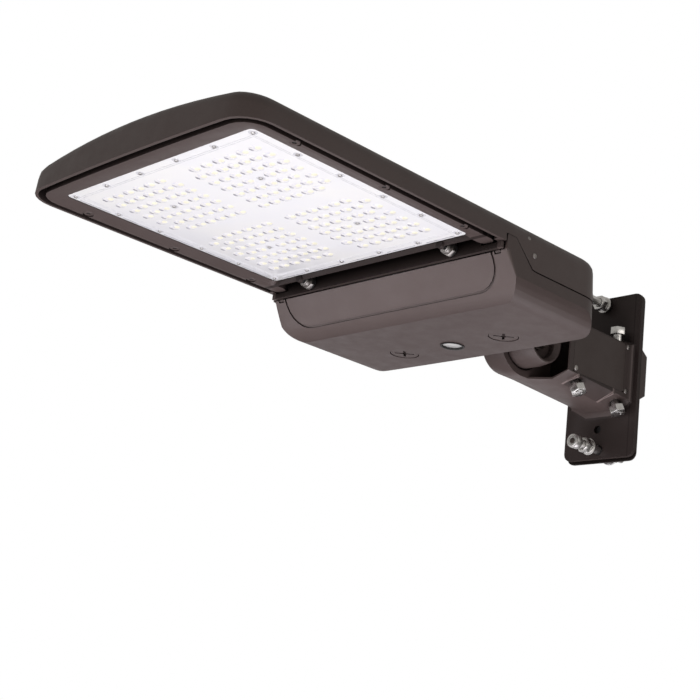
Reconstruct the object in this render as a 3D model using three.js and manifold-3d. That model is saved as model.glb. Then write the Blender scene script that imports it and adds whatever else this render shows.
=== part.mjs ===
// Shoebox area light on a tilting arm with a pole plate.
// Millimetres, Z up, X across the head, the free end of the head toward -Y.
// The origin is the centre of the pad that rests on the pole, whose face looks toward +Y.
import * as THREE from 'three';
import { mergeVertices } from 'three/addons/utils/BufferGeometryUtils.js';
import Module from 'manifold-3d';

const wasm = await Module();
wasm.setup();

// Lens plate and the aluminium frame around it
const lensWidth = 273;
const lensLength = 265.5;
const lensEdgeThick = 2.5;
const lensCornerRadius = 5;
const frameSideMargin = 18.5;
const frameFrontMargin = 22.4;
const frameRearMargin = 4.5;
const frameCornerRadius = 22;
const frameLipDrop = 4;
const frameWallTop = 8;
const frameFloorThick = 3.2;
const frameFrontBow = 2.6;
const railOverrun = 16.3;
const railWidth = 17;
const shoulderWidth = 9;
const lensSealThick = 1.3;
const frameLipWidth = 3.5;
const frameInnerLip = 0.4;
const frameRearLip = 1.6;
const finCount = 11;
const finPitch = 20;
const finThick = 2.6;
const finHeight = 8;
const finEndInset = 14;

// Light engine
const boardGap = 7;
const boardThick = 1.6;
const boardRecess = 2.6;
const boardMargin = 1.5;
const boardCorner = 4;
const boardFilm = 0.1;

// Housing shell
const airGap = 6.5;
const rimWidth = 3.5;
const shellWall = 3;
const shellCornerRadius = 30;
const shellFrontBow = 3.6;
const shellRearBow = 3;
const roofEdgeHeight = 20;
const crownRise = 12.7;
const roofEdgeRadius = 12;
const wallDraft = 0.06;
const bayLength = 153.4;
const bayWallThick = 3.4;
const railSlotGap = 1.2;
const bayWallDrop = 11;
const bayWallSetback = 14.5;
const gapEndInset = 5;
const mountScrewBoss = 5.5;
const mountScrewEar = 3.4;
const mountScrewShares = [0.13, 0.52, 0.9];

// Driver door
const doorSlot = 1.6;
const doorWall = 2.8;
const doorDepth = 51;
const doorSeamDrop = 20.4;
const doorSeamGap = 0.8;
const doorTopDrop = 11.5;
const doorFrontLean = 0.66;
const doorFrontRadius = 36;
const doorCreaseAngle = 20;
const doorSideRadius = 25;
const doorCornerDrops = [0, 8, 17, 25, 39.5];
const doorCornerRadii = [5.5, 3.6, 2.2, 1.8, 2.4];
const earHeight = 3.8;
const earWidth = 12.4;
const earSlope = 0.93;
const earGap = 0.2;
const earChamfer = 1.2;
const hingeSetback = 3.5;
const hingeRise = 1.5;
const hingePinRadius = 1.6;
const hingeLugInset = 15;
const hingeLugThick = 6;
const hingeBossRadius = 3.2;
const hingeNotchDepth = 2.4;
const panelGrooveWidth = 2.4;
const panelGrooveDepth = 1.4;
const panelHalfWidth = 147;
const panelDepth = 36.5;
const panelCorner = 29;
const doorSealInset = 1;
const doorSealRelief = 0.4;

// Latches and the light sensor in the door
const latchSpacing = 139.6;
const latchSetback = 113;
const latchRadius = 15;
const latchThick = 3.4;
const latchStudRadius = 4;
const latchStudHeight = 26;
const latchSlotWidth = 2.6;
const latchSlotDepth = 2.2;
const latchSlotShare = 0.7;
const latchSocketRadius = 3;
const latchSocketDepth = 2.8;
const latchRecess = 0.5;
const latchBossWall = 3;
const receptacleWall = 3;
const latchDishClearance = 0.8;
const dishFloor = 2.2;
const sensorRadius = 12.8;
const sensorWellRadius = 11;
const sensorWall = 0.9;
const sensorRimWidth = 1;
const sensorRecess = 2.2;
const sensorHeight = 18;
const sensorNutThick = 4;
const sensorNutSpread = 2;
const sensorBackWall = 3;

// Cable glands in the front wall of the driver bay, with their caps toward the light engine
const glandSpacing = 200;
const glandDrop = 2.2;
const glandHexRadius = 8.3;
const glandHexThick = 5;
const glandStubRadius = 5;
const glandNeckLength = 4.1;
const glandCapRadius = 6.6;
const glandCapLength = 5.1;
const glandCapTaper = 1.2;
const glandSealRadius = 7;
const glandSealThick = 1.2;
const leadRadius = 2.4;
const leadBossRadius = 4.4;
const leadSocketDepth = 3.2;
const leadStraight = 6;
const leadBendShare = 0.3;

// Electrical parts in the bay
const driverLength = 190;
const driverWidth = 62;
const driverHeight = 30;
const driverOffset = -40;
const driverSetback = 34;
const driverFootLength = 9;
const driverFootThick = 2;
const driverFootSpread = 2;
const driverCorner = 4;
const driverRoofGap = 5;
const surgeLength = 56;
const surgeWidth = 34;
const surgeHeight = 28;
const surgeOffset = 118;
const surgeSetback = 108;
const terminalLength = 60;
const terminalWidth = 22;
const terminalHeight = 18;
const terminalOffset = 112;
const terminalSetback = 62;
const terminalWellDepth = 4;
const hungCorner = 2;
const hungPadRadius = 7;
const hungRoofGap = 1;

// Tilting joint
const pivotSetback = 79.5;
const pivotDrop = 12;
const hubRadius = 28.8;
const hubEndRadius = 26.8;
const hubWidth = 34.4;
const hubTaperLength = 16;
const hubChamfer = 1.8;
const hubDishRadius = 24.4;
const hubDishDepth = 5.6;
const hubRecessRadius = 20.6;
const hubRecessDepth = 12.4;
const cheekRadius = 31.5;
const cheekWidth = 33.8;
const cheekPocketRadius = 31;
const cheekPocketDepth = 2.4;
const toothGap = 0.4;
const neckHalfHeight = 16;
const neckSideMargin = 6;
const neckHubMargin = 12;
const webLength = 18;
const webTaper = 6;
const webSpread = 10;
const flangeHalfWidth = 48;
const flangeHeight = 32;
const flangeThick = 8;
const flangeDrop = 19;
const flangeCorner = 5;
const flangeBoltInset = 9;
const knuckleSealThick = 0.2;
const knuckleSealFilm = 0.05;
const knuckleSealInset = 2;
const flangePadThick = 3.5;
const flangeBoltRadius = 4;
const flangeBoltHead = 6.5;
const flangeBoltHeadThick = 4;
const tiltBoltRadius = 5;
const tiltHexRadius = 9.4;
const tiltHexThick = 6.4;
const tiltWasherRadius = 11;
const tiltWasherThick = 2.2;
const tiltNutPocketRadius = 14;

// Arm tube
const armHalfWidth = 40;
const armSideHalfHeight = 29.5;
const armChamferWidth = 22;
const armTopChamferHeight = 9;
const armLowChamferHeight = 8.6;
const armLowGrowth = 9;
const armSideGrowth = 5;
const armLeftDrop = 2.2;
const armFrontSetback = 25.1;
const armTubeLength = 113.9;
const armFlare = 9;
const armFlareSideShare = 0.44;
const armFlareTopShare = 0.4;
const armBoreRadius = 31;
const armHubClearance = 3;
const hubEndClearance = 1.5;
const mouthDepth = 26;
const mouthWall = 6;
const mouthEdge = 1.6;
const mouthFloor = 2.4;
const mouthFlareLength = 7;
const lipReach = 12;
const lipWidth = 22.8;
const ribSetbacks = [18.5, 82.5];
const ribThick = 2.2;
const ribHeight = 2.2;
const ribInset = 2;
const coverThick = 3;
const coverFrontMargin = 7.5;
const coverRearMargin = 13;
const coverHalfHeight = 29;
const coverLedge = 8;
const coverSealThick = 0.8;
const coverCorner = 3;
const setScrewRadius = 5;
const setScrewHexRadius = 9.2;
const setScrewHexThick = 8.4;
const setScrewStandoff = 6.5;
const setScrewReach = 16;
const setScrewAngle = 24;
const setScrewSetbackShares = [0.24, 0.883];
const topScrewSetbackShare = 0.868;

// Pole plate and saddle
const plateWidth = 98;
const plateHeight = 195.6;
const plateThick = 4.5;
const plateCornerRadius = 9;
const plateDrop = 3;
const plateSealThick = 1;
const plateSealInset = 3;
const saddleThick = 2.8;
const saddleExtraHeight = 3.4;
const saddlePadHeight = 47;
const saddlePadDepth = 9;
const saddlePadBevel = 6;
const poleBoltMargin = 10.3;
const poleBoltRadius = 5;
const poleHoleRadius = 5.6;
const spareHoleRise = 35.3;
const spareHoleOffset = 3;
const spareHoleRadius = 4.9;
const poleBoltReach = 48;
const poleHeadRadius = 8;
const poleHeadLength = 9;
const poleSocketRadius = 4.2;
const poleSocketDepth = 5;
const poleNutRadius = 9.2;
const poleNutThick = 7.6;
const poleSpringRadius = 8.4;
const poleSpringThick = 2.4;
const poleWasherRadius = 9.7;
const poleWasherThick = 1.8;
const poleStackStandoffs = [6, 17];
const poleRearNutThick = 7.6;
const poleWallRoom = 4.5;
const poleRearWasherRadius = 12.5;
const poleRearWasherThick = 2;
const poleTailLength = 28;
const wireHoleRadius = 9;
const wireHoleOffset = 21;

// Fit between pieces that touch
const seat = 0.3;
const bit = 1;

// Derived positions along Y, measured from the front edge of the lens plate
const frameFrontY = -frameFrontMargin;
const shellFrontY = frameFrontY - airGap - rimWidth;
const frameRearY = lensLength + frameRearMargin;
const railEndY = frameRearY + railOverrun;
const bayWallFrontY = frameRearY + bayWallSetback;
const bayWallRearY = bayWallFrontY + bayWallThick;
const doorFrontY = bayWallRearY + doorSlot;
const shellRearY = doorFrontY + bayLength;
const pivotY = shellRearY + pivotSetback;
const armFrontY = pivotY + armFrontSetback;
const plateFrontY = armFrontY + armTubeLength;
const plateRearY = plateFrontY + plateThick;
const saddleFrontY = plateRearY + plateSealThick;
const saddleRearY = saddleFrontY + saddleThick;
const padRearY = saddleFrontY + saddlePadDepth + saddleThick;

// Derived widths
const lensHalf = lensWidth / 2;
const frameHalf = lensHalf + frameSideMargin;
const shellHalf = frameHalf + airGap + rimWidth;

// Derived heights, measured from the outer face of the lens plate
const rimZ = -frameLipDrop;
const floorZ = lensEdgeThick + lensSealThick + boardRecess;
const frameBackZ = floorZ + frameFloorThick;
const seamZ = -doorSeamDrop;
const axisZ = -pivotDrop;
const plateZ = axisZ - plateDrop;
const plateLow = plateZ - plateHeight / 2;
const poleBoltSpacing = plateHeight - poleBoltMargin * 2;
const hingeY = doorFrontY + hingeSetback;
const hingeZ = hingeRise - doorTopDrop;

const degrees = Math.PI / 180;

// Colours and finishes
const finish = (color, roughness, metalness) => (
  new THREE.MeshStandardMaterial({ color, roughness, metalness }));
const bronze = () => finish(0x3b3230, 0.62, 0.25);
const bareBronze = () => finish(0x574c49, 0.55, 0.35);
const steel = () => finish(0xc8c8c6, 0.3, 1);
const rubber = () => finish(0x191a1b, 0.85, 0);

// Solid helpers
function toSolid(geometry) {
  const bare = geometry.clone();
  bare.deleteAttribute('normal');
  bare.deleteAttribute('uv');
  const merged = mergeVertices(bare, 1e-4);
  const mesh = new wasm.Mesh({
    numProp: 3,
    vertProperties: new Float32Array(merged.attributes.position.array),
    triVerts: new Uint32Array(merged.index.array),
  });
  return new wasm.Manifold(mesh);
}

function fromSolid(solid) {
  const mesh = solid.getMesh();
  const geometry = new THREE.BufferGeometry();
  geometry.setAttribute('position', new THREE.BufferAttribute(new Float32Array(mesh.vertProperties), 3));
  geometry.setIndex(new THREE.BufferAttribute(new Uint32Array(mesh.triVerts), 1));
  return geometry;
}

function meshOf(points, triangles) {
  const geometry = new THREE.BufferGeometry();
  geometry.setAttribute('position', new THREE.Float32BufferAttribute(points.flat(), 3));
  geometry.setIndex(triangles.flat());
  return toSolid(geometry);
}

const placeX = (u, v, w) => [w, u, v];
const placeY = (u, v, w) => [u, w, v];
const placeZ = (u, v, w) => [u, v, w];

// A straight prism over a flat outline; place maps the outline and the height to X, Y and Z.
function prism(outline, low, high, place) {
  const flat = outline.map(([u, v]) => new THREE.Vector2(u, v));
  if (THREE.ShapeUtils.isClockWise(flat)) flat.reverse();
  const count = flat.length;
  const points = [low, high].flatMap((w) => flat.map((p) => place(p.x, p.y, w)));
  const caps = THREE.ShapeUtils.triangulateShape(flat, []);
  const triangles = [];
  for (const [a, b, c] of caps) triangles.push([c, b, a], [a + count, b + count, c + count]);
  for (let i = 0; i < count; i += 1) {
    const j = (i + 1) % count;
    triangles.push([i, j, j + count], [i, j + count, i + count]);
  }
  const mirrored = place === placeY;
  return meshOf(points, mirrored ? triangles.map(([a, b, c]) => [c, b, a]) : triangles);
}

const box = (x0, x1, y0, y1, z0, z1) => prism([[x0, y0], [x1, y0], [x1, y1], [x0, y1]], z0, z1, placeZ);

function arc(cu, cv, radius, from, to, steps) {
  return Array.from({ length: steps + 1 }, (_, i) => {
    const angle = (from + ((to - from) * i) / steps) * degrees;
    return [cu + radius * Math.cos(angle), cv + radius * Math.sin(angle)];
  });
}

const ring = (cu, cv, radius, sides, turn = 0) => (
  arc(cu, cv, radius, turn, turn + 360, sides).slice(0, sides));
const rodX = (y, z, radius, x0, x1, sides = 32) => prism(ring(y, z, radius, sides), x0, x1, placeX);
const rodY = (x, z, radius, y0, y1, sides = 24) => prism(ring(x, z, radius, sides), y0, y1, placeY);
const rodZ = (x, y, radius, z0, z1, sides = 24) => prism(ring(x, y, radius, sides), z0, z1, placeZ);

function roundedRect(u0, u1, v0, v1, radius, steps = 4) {
  return [
    ...arc(u1 - radius, v0 + radius, radius, -90, 0, steps),
    ...arc(u1 - radius, v1 - radius, radius, 0, 90, steps),
    ...arc(u0 + radius, v1 - radius, radius, 90, 180, steps),
    ...arc(u0 + radius, v0 + radius, radius, 180, 270, steps),
  ];
}

const join = (first, ...rest) => rest.reduce((sum, solid) => sum.add(solid), first);
const cut = (first, ...rest) => rest.reduce((sum, solid) => sum.subtract(solid), first);
const hullOf = (...solids) => wasm.Manifold.hull(solids);
const mirrorPair = (make) => [make(-1), make(1)];

// Plan outlines of the shell: a front chain with rising X, then a rear chain with falling X.
const cornerSteps = 6;
const middleSteps = 12;

function planRing(plan, inset, height) {
  const half = plan.half - inset;
  const radius = Math.max(plan.radius - inset, bit);
  const chain = [];
  for (let i = 0; i <= cornerSteps; i += 1) {
    const angle = (i / cornerSteps) * 90 * degrees;
    chain.push([-half + radius * (1 - Math.cos(angle)), radius * (1 - Math.sin(angle))]);
  }
  for (let i = 1; i < middleSteps; i += 1) chain.push([(half - radius) * ((2 * i) / middleSteps - 1), 0]);
  for (let i = cornerSteps; i >= 0; i -= 1) chain.push([-chain[i][0], chain[i][1]]);
  const front = chain.map(([x, y]) => [x, plan.front + inset + y + plan.frontBow * (x / half) ** 2]);
  const rear = chain.map(([x, y]) => [x, plan.rear - inset - y - plan.rearBow * (x / half) ** 2]);
  return [...front, ...rear.reverse()].map(([x, y]) => [x, y, height(x)]);
}

function loft(rings) {
  const count = rings[0].length;
  const triangles = [];
  for (let k = 0; k + 1 < rings.length; k += 1) {
    for (let i = 0; i < count; i += 1) {
      const [a, b] = [k * count + i, k * count + ((i + 1) % count)];
      triangles.push([a, b, b + count], [a, b + count, a + count]);
    }
  }
  const top = (rings.length - 1) * count;
  for (let i = 0; i + 1 < count / 2; i += 1) {
    const [a, b, c, d] = [i, i + 1, count - 2 - i, count - 1 - i];
    triangles.push([c, b, a], [d, c, a], [top + a, top + b, top + c], [top + a, top + c, top + d]);
  }
  return meshOf(rings.flat(), triangles);
}

const shellPlan = {
  half: shellHalf, front: shellFrontY, rear: shellRearY,
  radius: shellCornerRadius, frontBow: shellFrontBow, rearBow: shellRearBow,
};

const draftInset = (z) => (z - rimZ) * wallDraft;
const crownAt = (x) => roofEdgeHeight + crownRise * (1 - (x / shellHalf) ** 2);

// The crowned shell: drafted walls, a rounded roof edge and a roof arched across X.
function shellBody(inset, floor) {
  const roof = (x) => crownAt(x) - inset;
  const radius = roofEdgeRadius - inset / 2;
  const wallTop = roofEdgeHeight - inset - radius;
  const rings = [planRing(shellPlan, inset + draftInset(floor), () => floor)];
  const steps = 4;
  for (let i = 0; i <= steps; i += 1) {
    const angle = (i / steps) * 90 * degrees;
    const sideways = inset + draftInset(wallTop) + radius * (1 - Math.cos(angle));
    rings.push(planRing(shellPlan, sideways, (x) => roof(x) - radius * (1 - Math.sin(angle))));
  }
  return loft(rings);
}

const housingFloor = seamZ - bit;
const far = shellHalf * 2;

// Side view of the line where the housing ends and the door begins
const earTopY = doorFrontY + earWidth;
const seamStartY = earTopY + (earHeight + doorSeamDrop - doorSeamGap) / earSlope;

function seamPath(gap, topGap) {
  return [
    [doorFrontY, earHeight + topGap],
    [earTopY + gap / 2, earHeight + topGap],
    [seamStartY + gap / 2, seamZ + doorSeamGap - bit + gap],
    [seamStartY + earWidth / 2, seamZ - doorSeamGap + gap],
    [shellRearY + far, seamZ - doorSeamGap + gap],
  ];
}

const mountScrewY = mountScrewShares.map((share) => frameRearY * share);
const bossX = frameHalf - mountScrewBoss + bit;

const screwBosses = () => mirrorPair((side) => mountScrewY.map((y) => {
  const top = crownAt(bossX) - shellWall + bit;
  return rodZ(side * bossX, y, mountScrewBoss - seat, frameWallTop + seat, top, 16);
})).flat();

const latchY = doorFrontY + latchSetback;
const latchX = latchSpacing / 2;
const latchTopZ = -doorDepth + latchStudHeight;
const receptacles = () => mirrorPair((side) => {
  const top = crownAt(latchX) - shellWall + bit;
  return rodZ(side * latchX, latchY, latchStudRadius + receptacleWall, latchTopZ + seat, top, 16);
});

const lugX0 = shellHalf - hingeLugInset;
const lugX1 = lugX0 + hingeLugThick;
const spanX = (side, from, to) => [side * from, side * to].sort((a, b) => a - b);

// Each hinge lug hangs from the roof and the wall of the bay, with a round end about the hinge axis
const lugs = () => mirrorPair((side) => {
  const roof = crownAt(lugX0) - shellWall + bit;
  const step = frameBackZ + railSlotGap + bit;
  const outline = [
    [hingeY - hingeBossRadius, hingeZ],
    ...arc(hingeY, hingeZ, hingeBossRadius, 180, 360, 10),
    [hingeY + hingeBossRadius, roof],
    [bayWallRearY - bit, roof],
    [bayWallRearY - bit, step],
    [hingeY - hingeBossRadius, step],
  ];
  return prism(outline.slice(1), ...spanX(side, lugX0, lugX1), placeX);
});

const driverX0 = driverOffset - driverLength / 2;
const driverX1 = driverOffset + driverLength / 2;
const driverY = doorFrontY + driverSetback + driverWidth / 2;
const driverTopZ = crownAt(Math.max(Math.abs(driverX0), driverX1) + driverFootLength)
  - shellWall - driverRoofGap;
const driverPosts = () => [driverX0 - driverFootLength / 2, driverX1 + driverFootLength / 2].map((x) => (
  rodZ(x, driverY, driverFootLength / 2, driverTopZ + seat, crownAt(x) - shellWall + bit, 16)));

const surgeTopZ = crownAt(surgeOffset + surgeLength / 2) - shellWall - hungRoofGap;
const surgeY = doorFrontY + surgeSetback;
const terminalY = doorFrontY + terminalSetback;
const terminalTopZ = crownAt(terminalOffset + terminalLength / 2) - shellWall - hungRoofGap;
const hungPads = () => [[surgeOffset, surgeY, surgeTopZ], [terminalOffset, terminalY, terminalTopZ]].map(
  ([x, y, z]) => rodZ(x, y, hungPadRadius, z + seat, crownAt(x) - shellWall + bit, 16));

const glandX = glandSpacing / 2;
const glandZ = -glandDrop;
const padZ = { low: -flangeDrop, high: -flangeDrop + flangeHeight };
const padFaceY = shellRearY + flangePadThick;
const flangeBoltX = flangeHalfWidth - flangeBoltInset;
const padMiddle = (padZ.low + padZ.high) / 2;

function housing() {
  const cavity = shellBody(shellWall, housingFloor - bit);
  const underSkirt = box(-far, far, shellFrontY - far, doorFrontY - doorSlot, housingFloor - far, rimZ);
  const earNotch = prism([
    [doorFrontY - doorSlot, housingFloor - far],
    [doorFrontY - doorSlot, earHeight + earGap],
    ...seamPath(doorSeamGap, earGap).slice(1, 4),
    [shellRearY + far, seamZ],
    [shellRearY + far, housingFloor - far],
  ], -far, far, placeX);
  const shell = cut(shellBody(0, housingFloor), cavity, underSkirt, earNotch);
  const wallHalf = shellHalf - shellWall;
  const wallRaw = box(-wallHalf, wallHalf, bayWallFrontY, bayWallRearY, -bayWallDrop,
    roofEdgeHeight + crownRise);
  const slotX = [frameHalf - railWidth - railSlotGap, frameHalf + railSlotGap];
  const railSlots = mirrorPair((side) => box(...spanX(side, ...slotX),
    bayWallFrontY - bit, bayWallRearY + bit, rimZ - railSlotGap, frameBackZ + railSlotGap));
  const gapEnds = mirrorPair((side) => box(...spanX(side, frameHalf + railSlotGap, wallHalf + bit / 2),
    bayWallFrontY - gapEndInset, bayWallFrontY + bit, rimZ, frameBackZ));
  const bayWall = cut(wallRaw.intersect(shellBody(bit, -bayWallDrop - bit)), ...railSlots);
  const inside = [...screwBosses(), ...receptacles(), ...lugs(), ...driverPosts(), ...hungPads()];
  const pad = box(-flangeHalfWidth, flangeHalfWidth, shellRearY - shellWall - bit, padFaceY,
    padZ.low, padZ.high);
  const solid = join(shell, bayWall, pad, ...gapEnds, ...inside);
  const glandHoles = mirrorPair((side) => (
    rodY(side * glandX, glandZ, glandStubRadius + seat / 2, bayWallFrontY - bit, bayWallRearY + bit)));
  const pinHoles = mirrorPair((side) => (
    rodX(hingeY, hingeZ, hingePinRadius + seat, ...spanX(side, lugX0 - bit, lugX1 + bit), 12)));
  const boltHoles = mirrorPair((side) => rodY(side * flangeBoltX, padMiddle,
    flangeBoltRadius + seat, shellRearY - shellWall * 2, padFaceY + bit, 16));
  const wireHole = rodY(0, padMiddle, wireHoleRadius, shellRearY - shellWall * 3, padFaceY + bit);
  return cut(solid, ...glandHoles, ...pinHoles, ...boltHoles, wireHole);
}

// Outline of the light engine frame: bowed front, rounded front corners and two rails at the rear
function frameOutline(inset) {
  const half = frameHalf - inset;
  const radius = frameCornerRadius - inset;
  const front = frameFrontY + inset;
  const railInner = frameHalf - railWidth;
  const endRadius = (half - railInner) / 2;
  const bow = (x) => frameFrontBow * (x / half) ** 2;
  const corner = arc(half - radius, front + radius, radius, -90, 0, 5).map(([x, y]) => [x, y + bow(x)]);
  const spanShares = [-0.75, -0.5, -0.25, 0, 0.25, 0.5, 0.75];
  const spans = spanShares.map((share) => share * (half - radius));
  const middle = spans.map((x) => [x, front + bow(x)]);
  const railCap = arc(half - endRadius, railEndY - endRadius, endRadius, 0, 180, 6);
  const rightSide = [...corner, ...railCap, [railInner, frameRearY]];
  const leftSide = rightSide.map(([x, y]) => [-x, y]).reverse();
  return [...middle, ...rightSide, ...leftSide];
}

const shoulderZ = lensEdgeThick + lensSealThick + seat;
const seatHalf = lensHalf + seat;
const boardHalf = seatHalf - shoulderWidth;
const boardY0 = shoulderWidth;
const boardY1 = lensLength - shoulderWidth;

function lightEngineFrame() {
  const body = prism(frameOutline(0), rimZ, frameWallTop, placeZ);
  const plateTop = prism(frameOutline(frameCornerRadius / 2), frameWallTop - bit, frameBackZ, placeZ);
  const fins = Array.from({ length: finCount }, (_, i) => {
    const x = (i - (finCount - 1) / 2) * finPitch;
    const low = frameBackZ - bit;
    return box(x - finThick / 2, x + finThick / 2, finEndInset, frameRearY - finEndInset,
      low, low + bit + finHeight);
  });
  const lensSeat = prism(roundedRect(-seatHalf, seatHalf, -seat, lensLength + seat, lensCornerRadius),
    rimZ - bit, shoulderZ, placeZ);
  const boardSeat = box(-boardHalf, boardHalf, boardY0, boardY1, rimZ, floorZ);
  const lipHalf = frameHalf - frameLipWidth;
  const lipFront = frameFrontY + frameFrontBow + frameLipWidth;
  const slope = hullOf(
    prism(roundedRect(-lipHalf, lipHalf, lipFront, frameRearY - frameRearLip, frameCornerRadius),
      rimZ - bit, rimZ, placeZ),
    prism(roundedRect(-seatHalf, seatHalf, -seat, lensLength + seat, lensCornerRadius),
      -frameInnerLip - seat, -frameInnerLip, placeZ));
  const notches = mirrorPair((side) => mountScrewY.map((y) => (
    rodZ(side * bossX, y, mountScrewBoss, rimZ - bit, frameWallTop - mountScrewEar, 16)))).flat();
  const leadBosses = mirrorPair((side) => (
    rodY(side * glandX, glandZ, leadBossRadius, lensLength + seat, frameRearY, 20)));
  const leadSockets = mirrorPair((side) => rodY(side * glandX, glandZ, leadRadius + seat,
    frameRearY - leadSocketDepth - seat, frameRearY + bit, 16));
  const solid = join(body, plateTop, ...fins);
  const seated = cut(solid, slope, lensSeat, boardSeat, ...notches);
  return cut(join(seated, ...leadBosses), ...leadSockets);
}

const lensPlate = () => (
  prism(roundedRect(-lensHalf, lensHalf, 0, lensLength, lensCornerRadius), 0, lensEdgeThick, placeZ));

function lensSeal() {
  const low = lensEdgeThick + seat / 2;
  const high = low + lensSealThick;
  const outer = prism(roundedRect(-lensHalf + bit, lensHalf - bit, bit, lensLength - bit, lensCornerRadius),
    low, high, placeZ);
  const inner = box(-boardHalf, boardHalf, boardY0, boardY1, low - bit, high + bit);
  return outer.subtract(inner);
}

function ledBoard(sideX, sideY) {
  const halfX = boardHalf - boardMargin;
  const centreY = lensLength / 2;
  const halfY = (boardY1 - boardY0) / 2 - boardMargin;
  const [x0, x1] = sideX < 0 ? [-halfX, -boardGap / 2] : [boardGap / 2, halfX];
  const [y0, y1] = sideY < 0 ? [-halfY, -boardGap / 2] : [boardGap / 2, halfY];
  const top = floorZ - boardFilm;
  return prism(roundedRect(x0, x1, centreY + y0, centreY + y1, boardCorner, 3),
    top - boardThick, top, placeZ);
}

// A round lead bent along a line of points, with the corners rounded
function sweptRod(path, radius, sides = 10) {
  const curve = new THREE.CatmullRomCurve3(path.map((p) => new THREE.Vector3(...p)), false, 'centripetal');
  const count = (path.length - 1) * 5;
  const frames = curve.computeFrenetFrames(count, false);
  const points = [];
  for (let k = 0; k <= count; k += 1) {
    const centre = curve.getPointAt(k / count);
    for (let i = 0; i < sides; i += 1) {
      const angle = (i / sides) * 360 * degrees;
      const p = centre.clone()
        .addScaledVector(frames.normals[k], radius * Math.cos(angle))
        .addScaledVector(frames.binormals[k], radius * Math.sin(angle));
      points.push([p.x, p.y, p.z]);
    }
  }
  const triangles = [];
  for (let k = 0; k < count; k += 1) {
    for (let i = 0; i < sides; i += 1) {
      const [a, b] = [k * sides + i, k * sides + ((i + 1) % sides)];
      triangles.push([a, b, b + sides], [a, b + sides, a + sides]);
    }
  }
  const last = count * sides;
  for (let i = 1; i + 1 < sides; i += 1) triangles.push([i + 1, i, 0], [last, last + i, last + i + 1]);
  return meshOf(points, triangles);
}

const glandSealY = bayWallFrontY - seat / 2 - glandSealThick;
const glandHexY = glandSealY - seat / 2 - glandHexThick;
const glandBore = (x) => rodY(x, glandZ, leadRadius + seat, frameRearY - far, frameRearY + far, 12);

function gland(side) {
  const x = side * glandX;
  const hex = prism(ring(x, glandZ, glandHexRadius, 6, 30), glandHexY, glandHexY + glandHexThick, placeY);
  const stub = rodY(x, glandZ, glandStubRadius, glandHexY - glandNeckLength, bayWallRearY + seat, 16);
  return cut(join(hex, stub), glandBore(x));
}

function glandCap(side) {
  const x = side * glandX;
  const high = glandHexY - seat;
  const low = high - glandCapLength;
  const grip = prism(ring(x, glandZ, glandCapRadius, 12), low + glandCapTaper, high, placeY);
  const nose = rodY(x, glandZ, glandCapRadius - glandCapTaper, low, high, 12);
  const inside = rodY(x, glandZ, glandStubRadius + seat / 2,
    glandHexY - glandNeckLength - seat, high + bit, 16);
  return cut(join(grip, nose), inside, glandBore(x));
}

function glandSeal(side) {
  const x = side * glandX;
  const [low, high] = [glandSealY, glandSealY + glandSealThick];
  return rodY(x, glandZ, glandSealRadius, low, high, 20)
    .subtract(rodY(x, glandZ, glandStubRadius + seat / 2, low - bit, high + bit, 16));
}

function lead(side) {
  const x = side * glandX;
  const endX = side < 0 ? driverX0 + driverHeight : terminalOffset - terminalLength / 4;
  const endZ = side < 0 ? driverTopZ - driverHeight / 2 : terminalTopZ - terminalHeight / 2;
  const endY = side < 0 ? driverY - driverWidth / 2 - seat : terminalY - terminalWidth / 2 - seat;
  const start = frameRearY - leadSocketDepth;
  const path = [
    [x, start, glandZ],
    [x, (start + bayWallRearY) / 2, glandZ],
    [x, bayWallRearY + bit, glandZ],
    [x, bayWallRearY + leadStraight, glandZ],
    [x + (endX - x) * leadBendShare, (bayWallRearY + endY) / 2, (glandZ + endZ) / 2],
    [endX, endY - leadStraight - bit, endZ],
    [endX, endY, endZ],
  ];
  return sweptRod(path, leadRadius);
}

// Side view outline of the door: a leaning front, a round that ends in a crease, and a flat bottom.
// The wall shrinks it evenly for the hollow inside.
function doorSideOutline(wall) {
  const bottom = -doorDepth + wall;
  const top = -doorTopDrop;
  const front = doorFrontY + wall * Math.hypot(1, doorFrontLean);
  const radius = doorFrontRadius - wall;
  const lean = Math.atan(doorFrontLean) / degrees;
  const centreZ = bottom + radius * Math.cos(doorCreaseAngle * degrees);
  const centreY = front + doorFrontLean * (top - centreZ) + radius * Math.hypot(1, doorFrontLean);
  const curve = arc(centreY, centreZ, radius, 180 + lean, 270 - doorCreaseAngle, 6);
  const rear = shellRearY + bit - wall;
  return { bottom, top, front, curve, rear };
}

function doorCrossOutline(wall) {
  const half = shellHalf + bit * 3 - wall;
  const bottom = -doorDepth + wall;
  const radius = doorSideRadius + bit * 3 - wall;
  const right = arc(half - radius, bottom + radius, radius, -90, 0, 8);
  const left = right.map(([x, z]) => [-x, z]).reverse();
  return [...right, [half, far], [-half, far], ...left];
}

const doorPlan = (inset) => {
  const rings = [-doorDepth - bit, earHeight + bit].map((z) => (
    planRing(shellPlan, inset + draftInset(z) / 2, () => z)));
  return loft(rings);
};

// The front corners of the door: a crisp ridge that is rounder near its top
function doorCorners() {
  const slices = doorCornerDrops.map((drop, i) => {
    const z = -doorTopDrop - drop;
    const half = shellHalf - draftInset(z) / 2;
    const front = doorFrontY + doorFrontLean * drop - seat / 10;
    return prism(roundedRect(-half, half, front, shellRearY + far, doorCornerRadii[i], 5),
      z - seat / 10, z, placeZ);
  });
  const half = shellHalf + bit;
  const upper = box(-half, half, doorFrontY - bit, shellRearY + far, -doorTopDrop, earHeight + bit);
  const lower = hullOf(...slices);
  return lower.add(upper);
}

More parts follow.
